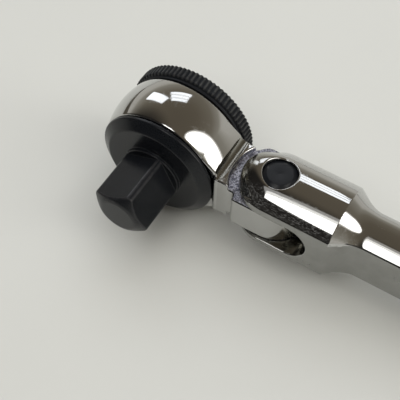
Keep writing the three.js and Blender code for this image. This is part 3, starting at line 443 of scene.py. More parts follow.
def clip_field(x, y, z):
    """The open ring in the spigot's groove."""
    rho = np.hypot(x, z)
    section = between(rho, CLIP_GROOVE_RADIUS + SEAT, clip_high[0])
    ring = meet(section, between(y, clip_low[1], clip_high[1]), CLIP_EDGE)
    opening = np.maximum(np.abs(x) - rho * math.sin(CLIP_OPENING), -z)
    return cut(ring, opening, CLIP_END_EDGE)


# Meshes from fields
def steps_between(low, high, step):
    return np.linspace(low, high, int(math.ceil((high - low) / step)) + 1)


def box_axes(low, high, step=GRID):
    """The grid's places along each axis, a little past a box."""
    margin = GRID_MARGIN * step
    return [steps_between(a - margin, b + margin, step) for a, b in zip(low, high)]


def slope(field, points):
    """The direction in which a field rises, times its steepness."""
    sides = SLOPE_REACH * np.eye(3)
    rise = [field(*(points + side).T) - field(*(points - side).T) for side in sides]
    return np.stack(rise, 1) / (2 * SLOPE_REACH)


def settle(field, points, rounds, limit):
    """Points moved onto the surface of a field."""
    for _ in range(rounds):
        rise = slope(field, points)
        steepness = np.maximum((rise**2).sum(1), LEAST_SLOPE)[:, None]
        move = field(*points.T)[:, None] * rise / steepness
        points = points - np.clip(move, -limit, limit)
    return points


def grid_surface(field, axes):
    """Points and four-sided faces of a field's surface, with one point in each grid cell that it crosses."""
    inside = field(axes[0][:, None, None], axes[1][None, :, None], axes[2][None, None, :]) < 0
    cells = np.zeros([len(axis) - 1 for axis in axes], int)
    for corner in itertools.product((0, 1), repeat=3):
        part = tuple(slice(side, len(axis) - 1 + side) for side, axis in zip(corner, axes))
        cells += inside[part]
    crossed = np.nonzero((cells > 0) & (cells < 8))
    number = np.full(cells.shape, -1)
    number[crossed] = np.arange(len(crossed[0]))
    points = np.stack([(axis[at] + axis[at + 1]) / 2 for axis, at in zip(axes, crossed)], 1)
    faces = []
    for first in range(3):
        order = [first, (first + 1) % 3, (first + 2) % 3]
        solid, cell = inside.transpose(order), number.transpose(order)
        behind, ahead = solid[:-1, 1:-1, 1:-1], solid[1:, 1:-1, 1:-1]
        i, j, k = np.nonzero(behind != ahead)
        ring = [cell[i, j, k], cell[i, j + 1, k], cell[i, j + 1, k + 1], cell[i, j, k + 1]]
        face = np.stack(ring, 1)
        back = ahead[i, j, k]
        face[back] = face[back][:, ::-1]
        faces.append(face)
    return points, np.concatenate(faces)


def relaxed(points, faces):
    """Each point at the middle of its neighbours."""
    total, count = np.zeros_like(points), np.zeros(len(points))
    for a, b in ((0, 1), (1, 2), (2, 3), (3, 0)):
        np.add.at(total, faces[:, a], points[faces[:, b]])
        np.add.at(total, faces[:, b], points[faces[:, a]])
        np.add.at(count, faces[:, a], 1)
        np.add.at(count, faces[:, b], 1)
    return total / count[:, None]


def mesh_object(name, points, faces, normals=None):
    """A smooth object from points in millimetres and an array or list of faces."""
    mesh = bpy.data.meshes.new(name)
    mesh.from_pydata((points * MM).tolist(), [], faces if isinstance(faces, list) else faces.tolist())
    mesh.shade_smooth()
    if normals is not None:
        mesh.normals_split_custom_set_from_vertices(normals.tolist())
    item = bpy.data.objects.new(name, mesh)
    bpy.context.scene.collection.objects.link(item)
    return item


def set_mask(item, name, values):
    """A number at each point of a mesh, which its finish reads."""
    attribute = item.data.attributes.new(name, "FLOAT", "POINT")
    attribute.data.foreach_set("value", np.asarray(values, np.float32))


def field_object(name, field, axes, step=GRID):
    """An object on a field's surface with a mask of its edges, and its points and normals."""
    points, faces = grid_surface(field, axes)
    points = settle(field, points, FIRST_ROUNDS, step)
    for _ in range(SMOOTH_PASSES):
        points = settle(field, relaxed(points, faces), SMOOTH_ROUNDS, step)
    normals = slope(field, points)
    normals /= np.linalg.norm(normals, axis=1)[:, None]
    item = mesh_object(name, points, faces, normals)
    sides = np.concatenate([np.eye(3), -np.eye(3)]) * EDGE_REACH
    around = sum(field(*(points + side).T) for side in sides)
    bend = (around - len(sides) * field(*points.T)) / EDGE_REACH**2
    set_mask(item, "edge", ramp(bend, EDGE_BEND_START, EDGE_BEND_WHOLE))
    return item, points, normals


def place(item, body, node, finish):
    """Gives a piece its finish and its body, and hides the CAD node that it stands for."""
    item.data.materials.clear()
    item.data.materials.append(finish)
    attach(item, body)
    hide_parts(node)


# Turned and wound meshes
ORIGIN = (0, 0, 0)
ALONG_X, ALONG_Y, ALONG_Z = np.eye(3)


def square_to(along, helper, other):
    """A unit direction square to along and a helper, or to another if along is too near the helper."""
    first = np.cross(along, helper if abs(np.dot(along, helper)) < NEARLY_ALONG else other)
    return first / np.linalg.norm(first)


def rounded(corners, radius, steps=5):
    """A closed outline with its corners rounded, where each corner is [radius from axis, place along it]."""
    corners = np.array(corners, float)
    outline = []
    for i, corner in enumerate(corners):
        before, after = corners[i - 1] - corner, corners[(i + 1) % len(corners)] - corner
        long_before, long_after = np.linalg.norm(before), np.linalg.norm(after)
        trim = min(radius, TRIM_SHARE * long_before, TRIM_SHARE * long_after)
        start, stop = corner + before / long_before * trim, corner + after / long_after * trim
        for t in np.linspace(0, 1, steps):
            outline.append((1 - t) ** 2 * start + 2 * t * (1 - t) * corner + t**2 * stop)
    return np.array(outline)


def round_end(radius, length):
    """The outline of a bar along its axis, with a domed start and a flat end."""
    angles = np.linspace(POLE_ANGLE, math.pi / 2, DOME_STEPS)
    dome = [[radius * math.sin(angle), radius * (1 - math.cos(angle))] for angle in angles]
    flat = [[radius, length - PLUNGER_BEVEL], [radius - PLUNGER_BEVEL, length], [ON_AXIS, length]]
    return np.array(dome + flat)


def globe(radius):
    """The outline of a ball round its middle."""
    angles = np.linspace(POLE_ANGLE, math.pi - POLE_ANGLE, GLOBE_STEPS)
    return np.array([[radius * math.sin(angle), -radius * math.cos(angle)] for angle in angles])


def turned(name, outline, sides, start, along, ridges=None):
    """A closed outline turned about a line, with its radius changed by ridges(angle, outline) if given."""
    angles = np.linspace(0, 2 * math.pi, sides, endpoint=False)
    first = square_to(along, ALONG_Z, ALONG_X)
    second = np.cross(along, first)
    radius = np.repeat(outline[None, :, 0], sides, 0)
    if ridges is not None:
        radius = radius + ridges(angles[:, None], outline[None, :, :])
    turn = np.cos(angles)[:, None, None] * first + np.sin(angles)[:, None, None] * second
    points = np.array(start) + radius[:, :, None] * turn + outline[None, :, 1:2] * along
    count = len(outline)
    i, j = np.meshgrid(np.arange(sides), np.arange(count), indexing="ij")
    ahead, next_j = (i + 1) % sides, (j + 1) % count
    faces = np.stack([ahead * count + j, ahead * count + next_j, i * count + next_j, i * count + j], -1)
    return mesh_object(name, points.reshape(-1, 3), faces.reshape(-1, 4))


def coil(name, start, end, radius, wire, turns):
    """Round wire wound from start to end, both in millimetres, with an outside radius."""
    start, end = np.array(start), np.array(end)
    length = np.linalg.norm(end - start)
    along = (end - start) / length
    first = square_to(along, ALONG_Y, ALONG_Z)
    second = np.cross(along, first)
    share = np.linspace(0, 1, turns * COIL_STEPS + 1)[:, None]
    angle = 2 * math.pi * turns * share
    out = np.cos(angle) * first + np.sin(angle) * second
    middle = start + along * (wire / 2 + (length - wire) * share) + (radius - wire / 2) * out
    across = np.cross(np.gradient(middle, axis=0), out)
    across /= np.linalg.norm(across, axis=1)[:, None]
    turn = np.linspace(0, 2 * math.pi, COIL_SIDES, endpoint=False)[None, :, None]
    points = middle[:, None] + wire / 2 * (np.cos(turn) * out[:, None] + np.sin(turn) * across[:, None])
    i, j = np.meshgrid(np.arange(len(middle) - 1), np.arange(COIL_SIDES), indexing="ij")
    here, there, next_j = i * COIL_SIDES, (i + 1) * COIL_SIDES, (j + 1) % COIL_SIDES
    faces = np.stack([here + next_j, there + next_j, there + j, here + j], -1).reshape(-1, 4).tolist()
    last = (len(middle) - 1) * COIL_SIDES
    faces += [list(range(COIL_SIDES - 1, -1, -1)), list(range(last, last + COIL_SIDES))]
    return mesh_object(name, points.reshape(-1, 3), faces)


# Finishes
MOST_NOISE = (0.3, 0.7)  # most of a noise's values lie between these
OXIDE_SPREAD, STEEL_SPREAD = 0.06, 0.14  # of the roughness


class Finish:
    """A material as a node tree, with short names for the nodes used here."""

    def __init__(self, name, metallic):
        self.material = bpy.data.materials.new(name)
        self.material.use_nodes = True
        self.tree = self.material.node_tree
        self.shader = self.tree.nodes["Principled BSDF"]
        self.shader.inputs["Metallic"].default_value = metallic
        self.coordinates = self.tree.nodes.new("ShaderNodeTexCoord").outputs["Object"]

    def feed(self, socket, value):
        """Links a node's output to a socket, or sets a plain value on it."""
        if isinstance(value, bpy.types.NodeSocket):
            self.tree.links.new(value, socket)
        else:
            socket.default_value = value

    def noise(self, size, detail=3.0, stretch=(1, 1, 1)):
        """Noise whose grain is about size millimetres, longer along an axis with a larger stretch."""
        mapping = self.tree.nodes.new("ShaderNodeMapping")
        mapping.inputs["Scale"].default_value = [1 / (MM * size * s) for s in stretch]
        self.tree.links.new(self.coordinates, mapping.inputs["Vector"])
        noise = self.tree.nodes.new("ShaderNodeTexNoise")
        noise.inputs["Scale"].default_value = 1.0
        noise.inputs["Detail"].default_value = detail
        self.tree.links.new(mapping.outputs["Vector"], noise.inputs["Vector"])
        return noise.outputs["Fac"]

    def mask(self, name):
        """A number that set_mask has put at the mesh's points, or 0 where it hasn't."""
        attribute = self.tree.nodes.new("ShaderNodeAttribute")
        attribute.attribute_name = name
        return attribute.outputs["Fac"]

    def span(self, value, low, high, start=0.0, end=1.0):
        """Goes smoothly from start to end as a value goes from low to high."""
        node = self.tree.nodes.new("ShaderNodeMapRange")
        node.interpolation_type = "SMOOTHSTEP"
        self.feed(node.inputs["Value"], value)
        for name, number in (("From Min", low), ("From Max", high), ("To Min", start), ("To Max", end)):
            self.feed(node.inputs[name], number)
        return node.outputs["Result"]

    def maths(self, operation, a, b):
        node = self.tree.nodes.new("ShaderNodeMath")
        node.operation = operation
        self.feed(node.inputs[0], a)
        self.feed(node.inputs[1], b)
        return node.outputs["Value"]

    def colours(self, factor, first, second):
        """Goes from a first colour to a second as a factor goes from 0 to 1."""
        node = self.tree.nodes.new("ShaderNodeMix")
        node.data_type = "RGBA"
        self.feed(node.inputs["Factor"], factor)
        for socket, colour in ((node.inputs[6], first), (node.inputs[7], second)):
            self.feed(socket, colour if isinstance(colour, bpy.types.NodeSocket) else (*colour, 1))
        return node.outputs[2]

    def bump(self, height, depth, before=None):
        """A bumped normal, with its depth in millimetres, over another if one is given."""
        node = self.tree.nodes.new("ShaderNodeBump")
        node.inputs["Strength"].default_value = 1.0
        node.inputs["Distance"].default_value = depth * MM
        self.feed(node.inputs["Height"], height)
        if before is not None:
            self.tree.links.new(before, node.inputs["Normal"])
        return node.outputs["Normal"]

    def done(self, colour, roughness, normal):
        self.feed(self.shader.inputs["Base Color"], colour)
        self.feed(self.shader.inputs["Roughness"], roughness)
        self.feed(self.shader.inputs["Normal"], normal)
        return self.material


def chrome():
    """Polished chrome plate with smudges and hairlines, rough where milled, duller on sides left by grinding, with
    painted shade on those sides and where the painted_shade mask is set.
    """
    look = Finish("chrome_plate", metallic=1.0)
    ground_and_shade, milled, painted_shade = [look.mask(name) for name in ("ground_and_shade", "milled", "painted_shade")]
    plate = look.colours(look.noise(14.0), (0.54, 0.54, 0.53), (0.60, 0.60, 0.595))
    # Painted shade: the tint of the sides marked by ground_and_shade is darker, standing in for the shadowed floor
    # that they reflect.
    shaded_flats = look.colours(look.noise(4.0), (0.26, 0.262, 0.25), (0.38, 0.382, 0.37))
    grit = look.span(look.noise(0.4, detail=2.0), 0.35, 0.65)
    ledges = look.colours(grit, (0.15, 0.155, 0.205), (0.72, 0.73, 0.83))
    tint = look.colours(milled, look.colours(ground_and_shade, plate, shaded_flats), ledges)
    # Painted shade: darker, and rougher, where the painted_shade mask is set, in the neck groove, the slot and
    # round the fork's nose.
    tint = look.colours(painted_shade, tint, (0.30, 0.295, 0.265))

    smudges = look.span(look.noise(6.0, detail=4.0), 0.42, 0.62)
    specks = look.span(look.noise(0.8, detail=2.0), 0.5, 0.75)
    dull = look.maths("MULTIPLY", smudges, specks)
    worn = look.span(look.noise(2.2), 0.35, 0.7, start=0.06, end=0.16)
    roughness = look.span(smudges, 0, 1, start=0.035, end=0.07)
    for where, more in ((dull, 0.12), (ground_and_shade, worn), (milled, 0.42), (painted_shade, 0.15)):
        roughness = look.maths("ADD", roughness, look.maths("MULTIPLY", where, more))

    streaks = look.span(look.noise(0.26, detail=2.0, stretch=(3, 1, 1)), 0.48, 0.7)
    dust = look.maths("MULTIPLY", look.mask("scuff"), streaks)
    look.feed(look.shader.inputs["Metallic"], look.span(dust, 0, 1, start=1.0, end=0.78))
    hairlines = look.bump(look.noise(0.25, detail=2.0, stretch=(18, 1, 1)), depth=0.0006)
    waves = look.bump(look.noise(2.6, detail=1.0), depth=0.0035, before=hairlines)
    grain = look.maths("MULTIPLY", milled, look.noise(0.35, detail=2.0))
    return look.done(tint, roughness, look.bump(grain, depth=0.09, before=waves))


def black_oxide(name, grain_stretch, rough, rubbed, specular=0.3):
    """Oiled black oxide: fine machining grain along one direction, and edges rubbed a little lighter; on the dial
    the lighter ridge crests are partly a painted highlight.
    """
    look = Finish(name, metallic=0.0)
    look.shader.inputs["Specular IOR Level"].default_value = specular
    grain = look.noise(0.16, detail=2.0, stretch=grain_stretch)
    oxide = look.colours(look.noise(5.0), (0.0055, 0.0066, 0.0085), (0.0085, 0.0096, 0.0120))
    oxide = look.colours(look.span(grain, 0.4, 0.8, end=0.5), oxide, (0.016, 0.017, 0.019))
    edges = look.maths("MULTIPLY", look.mask("edge"), look.mask("rub"))
    patches = look.span(look.noise(1.1), 0.3, 0.6, start=0.3)
    oxide = look.colours(look.maths("MULTIPLY", edges, patches), oxide, rubbed)
    roughness = look.span(look.noise(0.7), *MOST_NOISE, start=rough, end=rough + OXIDE_SPREAD)
    return look.done(oxide, roughness, look.bump(grain, depth=0.002))


def plain_metal(name, low, high, rough):
    """Bare metal with a fine grain, between two colours."""
    look = Finish(name, metallic=1.0)
    grain = look.noise(0.3, detail=2.0, stretch=(1, 6, 1))
    roughness = look.span(look.noise(1.5), *MOST_NOISE, start=rough, end=rough + STEEL_SPREAD)
    return look.done(look.colours(look.noise(2.0), low, high), roughness, look.bump(grain, depth=0.003))


def seal_rubber():
    look = Finish("seal_rubber", metallic=0.0)
    shade = look.colours(look.noise(1.0), (0.012, 0.012, 0.012), (0.028, 0.028, 0.028))
    roughness = look.span(look.noise(0.5), *MOST_NOISE, start=0.6, end=0.8)
    return look.done(shade, roughness, look.bump(look.noise(0.2), depth=0.01))


CHROME = chrome()
BLACK_DRIVE = black_oxide("black_oxide_drive", (1, 8, 1), rough=0.2, rubbed=(0.024, 0.024, 0.026))
# The dial's rubbed colour is lighter than the drive's: on its ridge crests it is partly a painted highlight.
BLACK_DIAL = black_oxide("black_oxide_dial", (1, 3, 1), 0.34, rubbed=(0.046, 0.047, 0.046), specular=0.18)
BLACK_PIN = black_oxide("black_oxide_pin", (1, 1, 1), rough=0.3, rubbed=(0.030, 0.030, 0.032))
STEEL = plain_metal("hardened_steel", (0.36, 0.36, 0.37), (0.52, 0.52, 0.53), rough=0.2)
BRIGHT_STEEL = plain_metal("bright_steel", (0.60, 0.60, 0.61), (0.72, 0.72, 0.73), rough=0.1)
BRONZE = plain_metal("bearing_bronze", (0.22, 0.15, 0.075), (0.32, 0.22, 0.11), rough=0.3)
RUBBER = seal_rubber()

# Every CAD node takes its slot's finish, and the pieces inside keep their CAD shape
slots = {part["node"]: part["material_slot"] for part in frame["record"]["subparts"]}
by_slot = {"chrome": CHROME, "black_steel": BLACK_DRIVE, "steel": STEEL, "bronze": BRONZE, "rubber": RUBBER}
for node, item in frame["nodes"].items():
    item.data.materials.clear()
    item.data.materials.append(by_slot[slots[node]])


# Pieces
def make_head():
    """The head, milled at the cove and on the tongue's ledges, duller by grinding on its sides, with painted shade
    on them and in the groove.
    """
    head_reach = np.maximum(head_high, [0, MID_Y + SHOULDER_WIDTH, 0])
    item, points, normals = field_object("head_shell", head_field, box_axes(head_low, head_reach))
    x, y, z = points.T
    high = np.abs(z)
    past_ring = x > RING_CROWN
    in_cove = near(np.hypot(x - PIN_X, y - MID_Y), COVE_RADIUS, COVE_BAND)
    cove = in_cove & (high > TONGUE_HALF_HEIGHT) & (high < NECK_HALF_HEIGHT - COVE_BAND)
    flat = np.abs(normals[:, 2]) > LEDGE_FACING
    ledges = near(high, TONGUE_HALF_HEIGHT, LEDGE_BAND) & flat & past_ring
    sides = (np.abs(normals[:, 1]) > SIDE_FACING) & past_ring
    from_groove = np.hypot(x - NECK_GROOVE_X, high - NECK_GROOVE_Z) - NECK_GROOVE_RADIUS
    in_groove = near(from_groove, 0, GROOVE_BAND) & (np.abs(normals[:, 1]) < GROOVE_FACING)
    set_mask(item, "milled", cove | ledges)
    # Painted shade: the sides get a darker tint through the ground_and_shade mask, and the neck groove a dark one
    # through the painted_shade mask.
    set_mask(item, "ground_and_shade", HEAD_GROUND_AND_SHADE * sides)
    set_mask(item, "painted_shade", GROOVE_SHADE * in_groove)
    place(item, "head", "head_body", CHROME)


def make_handle():
    """The handle, duller by grinding on its flat sides, with painted shade on them, in the slot and round the
    nose, and scuffed beside its crown.
    """
    fork_x = steps_between(handle_low[0] - FORK_MARGIN, SHANK_X + FINE_SHANK, GRID)
    long_x = steps_between(fork_x[-1], handle_high[0] + GRIP_MARGIN, GRIP_GRID)
    axes = [np.concatenate([fork_x, long_x[1:]]), *box_axes(handle_low, handle_high)[1:]]
    item, points, normals = field_object("handle_forging", handle_field, axes)
    x, y, z = points.T
    wide, high, sideways = np.abs(y - MID_Y), np.abs(z), np.abs(normals[:, 1])
    in_slot = (high < SLOT_HALF_HEIGHT + SLOT_BAND) & (wide < FORK_HALF_WIDTH - SLOT_SIDE_BAND)
    in_slot = in_slot & (x < SLOT_INSIDE_X)
    nose = 1 - ramp(x, handle_low[0] + NOSE_SHADE_START, handle_low[0] + NOSE_SHADE_END)
    scuffs = ramp(wide, SCUFF_START, SCUFF_WHOLE) * (sideways < SIDE_FACING) * (high > SLOT_HALF_HEIGHT)
    # Painted shade: the flat sides get a darker tint through the ground_and_shade mask, and the slot and the nose
    # a dark one through the painted_shade mask.
    set_mask(item, "ground_and_shade", (sideways > SIDE_FACING) & (x > GROUND_START_X))
    set_mask(item, "painted_shade", np.maximum(in_slot, NOSE_SHADE * nose))
    set_mask(item, "scuff", scuffs)
    place(item, "handle", "handle", CHROME)


def make_drive():
    """The drive, whose square is rubbed more than its flange, and its snap ring."""
    item, points, _ = field_object("drive_block", drive_field, box_axes(drive_low, drive_high))
    on_square = np.hypot(points[:, 0], points[:, 2]) < COLLAR_RADIUS - SQUARE_BAND
    set_mask(item, "rub", np.where(on_square, SQUARE_RUB, FLANGE_RUB))
    place(item, "drive", "drive_anvil", BLACK_DRIVE)
    clip_axes = box_axes(clip_low, clip_high, CLIP_GRID)
    clip, _, _ = field_object("snap_ring", clip_field, clip_axes, CLIP_GRID)
    place(clip, "drive", "dial_snap_ring", BRIGHT_STEEL)


def dial_outline():
    """The dial's section, from its bore past the detent's track, the neck and the rim to the recess."""
    track_y = detent_high[1] + RUN
    collar, collar_y = TOOTH_RADIUS + SEAT - RUN, washer_high[1] + RUN
    dish_y, recess_y = DIAL_BACK_Y - DIAL_DISH_DEPTH, clip_low[1] - RUN
    corners = [
        [DIAL_BORE, DIAL_FRONT_Y],
        [DETENT_CIRCLE - DETENT_HALF_WIDTH, DIAL_FRONT_Y],
        [DETENT_CIRCLE - DETENT_HALF_WIDTH / 2, track_y],
        [DETENT_CIRCLE + DETENT_HALF_WIDTH / 2, track_y],
        [DETENT_CIRCLE + DETENT_HALF_WIDTH, DIAL_FRONT_Y],
        [collar, DIAL_FRONT_Y],
        [collar, collar_y],
        [DIAL_NECK_RADIUS, collar_y],
        [DIAL_NECK_RADIUS, DIAL_RIM_Y - DIAL_RIM_LEAN],
        [DIAL_RADIUS - DIAL_FRONT_BEVEL, DIAL_RIM_Y],
        [DIAL_RADIUS, DIAL_RIM_Y + DIAL_BEVEL],
        [DIAL_RADIUS, DIAL_BACK_Y - DIAL_BEVEL],
        [DIAL_RADIUS - DIAL_BEVEL, DIAL_BACK_Y],
        [DIAL_DISH_RADIUS, DIAL_BACK_Y],
        [DIAL_DISH_RADIUS - DIAL_DISH_DEPTH, dish_y],
        [DIAL_RECESS_RADIUS, dish_y],
        [DIAL_RECESS_RADIUS, recess_y],
        [DIAL_BORE, recess_y],
    ]
    return rounded(corners, DIAL_EDGE, DIAL_EDGE_STEPS)


def ridge_share(angle, outline):
    """How far a point of the dial lies in a valley between two ridges, from 0 to 1."""
    on_rim = ramp(outline[..., 0], DIAL_RADIUS - RIDGE_START, DIAL_RADIUS - RIDGE_WHOLE)
    return on_rim * (0.5 - 0.5 * np.cos(DIAL_RIDGES * angle))


def dial_ridges(angle, outline):
    return -RIDGE_DEPTH * ridge_share(angle, outline)


def make_dial():
    """The ridged dial, lighter on the crests of its ridges: partly rubbed wear, partly a painted highlight."""
    outline, sides = dial_outline(), DIAL_RIDGES * RIDGE_STEPS
    item = turned("ridged_dial", outline, sides, ORIGIN, ALONG_Y, dial_ridges)
    angles = np.linspace(0, 2 * math.pi, sides, endpoint=False)[:, None]
    # Lighter ridge crests through the edge mask: partly rubbed wear, partly a painted highlight.
    worn_and_highlit_tops = ramp(1 - ridge_share(angles, outline[None]), RIDGE_TOP, 1)
    on_rim = outline[None, :, 0] > DIAL_RADIUS - RIM_BAND
    set_mask(item, "edge", (worn_and_highlit_tops * on_rim).ravel())
    set_mask(item, "rub", np.ones(len(item.data.vertices)))
    place(item, "dial", "reverse_dial", BLACK_DIAL)


def make_pin():
    """The hinge pin, with chamfered ends."""
    corners = [
        [ON_AXIS, -PIN_HALF_LENGTH],
        [PIN_FLAT_RADIUS, -PIN_HALF_LENGTH],
        [PIN_RADIUS, PIN_CHAMFER - PIN_HALF_LENGTH],
        [PIN_RADIUS, PIN_HALF_LENGTH - PIN_CHAMFER],
        [PIN_FLAT_RADIUS, PIN_HALF_LENGTH],
        [ON_AXIS, PIN_HALF_LENGTH],
    ]
    item = turned("pivot_pin", rounded(corners, PIN_EDGE), PIN_SIDES, (PIN_X, MID_Y, 0), ALONG_Z)
    place(item, "handle", "hinge_pin", BLACK_PIN)


def make_washer():
    inner_radius = TOOTH_RADIUS + SEAT
    corners = [
        [inner_radius, washer_low[1]],
        [WASHER_RADIUS, washer_low[1]],
        [WASHER_RADIUS, washer_high[1]],
        [inner_radius, washer_high[1]],
    ]
    item = turned("thrust_washer", rounded(corners, WASHER_EDGE), WASHER_SIDES, ORIGIN, ALONG_Y)
    place(item, "head", "dial_washer", BRONZE)


def make_plunger_and_balls():
    """The plunger behind the tongue, the square's ball and the dial's detent ball."""
    outline = round_end(plunger_high[2], plunger_high[0] - plunger_low[0])
    plunger = turned("flex_plunger_pin", outline, PLUNGER_SIDES, (plunger_low[0], MID_Y, 0), ALONG_X)
    place(plunger, "plunger", "flex_plunger", STEEL)
    ball = turned("retaining_ball", globe(BALL_RADIUS), BALL_SIDES, BALL_MIDDLE, ALONG_Y)
    place(ball, "drive_ball", "drive_ball", BRIGHT_STEEL)
    detent = turned("detent_globe", globe(DETENT_RADIUS), DETENT_SIDES, DETENT_MIDDLE, ALONG_Y)
    place(detent, "detent_ball", "detent_ball", BRIGHT_STEEL)


def make_spring(node, body, held_end, free_end, sizes, joint=None):
    """A coil from its held end to its free end, which gets a mesh of its own when a joint is given."""
    held_end, free_end = np.array(held_end), np.array(free_end)
    item = coil(node.replace("spring", "coil"), held_end, free_end, *sizes)
    place(item, body, node, STEEL)
    if joint is not None:
        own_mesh(item)


def make_flex_spring():
    held_end = [flex_spring_high[0] + FLEX_COIL_SEAT, MID_Y, 0]
    free_end = [plunger_high[0] + GAP, MID_Y, 0]
    make_spring("flex_spring", "handle", held_end, free_end, FLEX_COIL, "plunger_slide")


def make_ball_spring():
    foot, half = BALL_MIDDLE * ALONG_Y, BALL_COIL_HALF_LENGTH * BALL_OUT
    make_spring("drive_ball_spring", "drive", foot - half, foot + half, BALL_COIL, "drive_ball_press")


def make_pawl_springs():
    """Both pawls' coils. The left pawl moves away from its coil, which keeps its length."""
    out, rise = math.sin(PAWL_SPRING_ANGLE), math.cos(PAWL_SPRING_ANGLE)
    right_base, right_out = [
        [radius * out, PAWL_SPRING_Y, radius * rise] for radius in (PAWL_SPRING_BASE, PAWL_SPRING_OUT)
    ]
    left_base, left_in = [
        [-radius * out, PAWL_SPRING_Y, radius * rise] for radius in (PAWL_SPRING_BASE, PAWL_SPRING_IN)
    ]
    make_spring("pawl_spring_right", "drive", right_base, right_out, PAWL_COIL, "pawl_right_swing")
    make_spring("pawl_spring_left", "drive", left_base, left_in, PAWL_COIL)


def make_detent_spring():
    held_end = [DETENT_MIDDLE[0], detent_spring_low[1], DETENT_MIDDLE[2]]
    free_end = [DETENT_MIDDLE[0], detent_low[1], DETENT_MIDDLE[2]]
    make_spring("detent_spring", "drive", held_end, free_end, DETENT_COIL, "detent_ball_press")


make_head()
make_handle()
make_drive()
make_dial()
make_pin()
make_washer()
make_plunger_and_balls()
make_flex_spring()
make_ball_spring()
make_pawl_springs()
make_detent_spring()

# Camera, at the place found from the photograph
IMAGE_PIXELS = 400
FOCAL_PIXELS = 871.6
SENSOR = 36.0
CLIP_START = 0.01
CAMERA_PLACE = Vector((80.38, -94.84, 192.99)) * MM
CAMERA_AZIMUTH = math.radians(30.28)
CAMERA_ELEVATION = math.radians(56.44)
CAMERA_ROLL = math.radians(1.35)


def add_camera():
    level = math.cos(CAMERA_ELEVATION)
    across, ahead = math.cos(CAMERA_AZIMUTH), math.sin(CAMERA_AZIMUTH)
    right = Vector((across, ahead, 0))
    back = Vector((ahead * level, -across * level, math.sin(CAMERA_ELEVATION)))
    up = back.cross(right)
    rolled_right = right * math.cos(CAMERA_ROLL) + up * math.sin(CAMERA_ROLL)
    rolled_up = up * math.cos(CAMERA_ROLL) - right * math.sin(CAMERA_ROLL)
    aim = Matrix([rolled_right, rolled_up, back]).transposed()
    camera = bpy.data.objects.new("camera", bpy.data.cameras.new("camera"))
    camera.data.sensor_width = SENSOR
    camera.data.lens = FOCAL_PIXELS / IMAGE_PIXELS * SENSOR
    camera.data.clip_start = CLIP_START
    camera.matrix_world = Matrix.Translation(CAMERA_PLACE) @ aim.to_4x4()
    bpy.context.scene.collection.objects.link(camera)
    bpy.context.scene.camera = camera


add_camera()

# Floor, tilted to touch the head and the grip
FLOOR_HALF = 3.0  # metres
FLOOR_TILT = math.atan2(RING_CROWN - GRIP_CROWN, GRIP_END_X)
FLOOR_PLACE = Vector((0, 0, -RING_CROWN * MM))
FOUR_SIDED = [(0, 1, 2, 3)]


def add_floor():
    corners = [(-1, -1), (1, -1), (1, 1), (-1, 1)]
    mesh = bpy.data.meshes.new("floor")
    mesh.from_pydata([(x * FLOOR_HALF, y * FLOOR_HALF, 0) for x, y in corners], [], FOUR_SIDED)
    floor = bpy.data.objects.new("floor", mesh)
    floor.matrix_world = Matrix.Translation(FLOOR_PLACE) @ Matrix.Rotation(-FLOOR_TILT, 4, "Y")
    bpy.context.scene.collection.objects.link(floor)
    look = Finish("pale_floor", metallic=0.0)
    colour = look.colours(look.noise(60.0), (0.595, 0.60, 0.573), (0.623, 0.628, 0.60))
    mesh.materials.append(look.done(colour, 0.55, look.bump(look.noise(1.0), depth=0.002)))


add_floor()

# World: a dim warm room, paler near the horizon and dark on one side
ROOM_TONES = [  # each with the height of its direction
    (0.0, (0.58, 0.565, 0.52)),
    (0.20, (0.53, 0.51, 0.46)),
    (0.30, (0.32, 0.30, 0.255)),
    (0.5, (0.20, 0.178, 0.14)),
    (0.8, (0.145, 0.123, 0.092)),
    (1.0, (0.13, 0.11, 0.082)),
]
DARK_TONE = (0.022, 0.020, 0.018)
DARK_AZIMUTH = math.radians(-128)
DARK_ELEVATION = math.radians(27)
DARK_START, DARK_WHOLE = 0.45, 0.82  # cosine of the angle from the dark side's middle


def direction(azimuth, elevation):
    level = math.cos(elevation)
    return Vector((math.cos(azimuth) * level, math.sin(azimuth) * level, math.sin(elevation)))


def add_world():
    world = bpy.data.worlds.new("room")
    bpy.context.scene.world = world
    world.use_nodes = True
    tree = world.node_tree
    sight = tree.nodes.new("ShaderNodeTexCoord").outputs["Generated"]
    height = tree.nodes.new("ShaderNodeSeparateXYZ")
    tree.links.new(sight, height.inputs["Vector"])
    sky = tree.nodes.new("ShaderNodeValToRGB")
    stops = sky.color_ramp.elements
    for position, tone in ROOM_TONES[1:-1]:
        stops.new(position).color = (*tone, 1)
    stops[0].color = (*ROOM_TONES[0][1], 1)
    stops[len(ROOM_TONES) - 1].color = (*ROOM_TONES[-1][1], 1)
    tree.links.new(height.outputs["Z"], sky.inputs["Fac"])
    facing = tree.nodes.new("ShaderNodeVectorMath")
    facing.operation = "DOT_PRODUCT"
    facing.inputs[1].default_value = direction(DARK_AZIMUTH, DARK_ELEVATION)
    tree.links.new(sight, facing.inputs[0])
    shade = tree.nodes.new("ShaderNodeMapRange")
    shade.interpolation_type = "SMOOTHSTEP"
    shade.inputs["From Min"].default_value = DARK_START
    shade.inputs["From Max"].default_value = DARK_WHOLE
    tree.links.new(facing.outputs["Value"], shade.inputs["Value"])
    dim = tree.nodes.new("ShaderNodeMix")
    dim.data_type = "RGBA"
    dim.inputs[7].default_value = (*DARK_TONE, 1)
    tree.links.new(shade.outputs["Result"], dim.inputs["Factor"])
    tree.links.new(sky.outputs["Color"], dim.inputs[6])
    tree.links.new(dim.outputs[2], tree.nodes["Background"].inputs["Color"])


add_world()

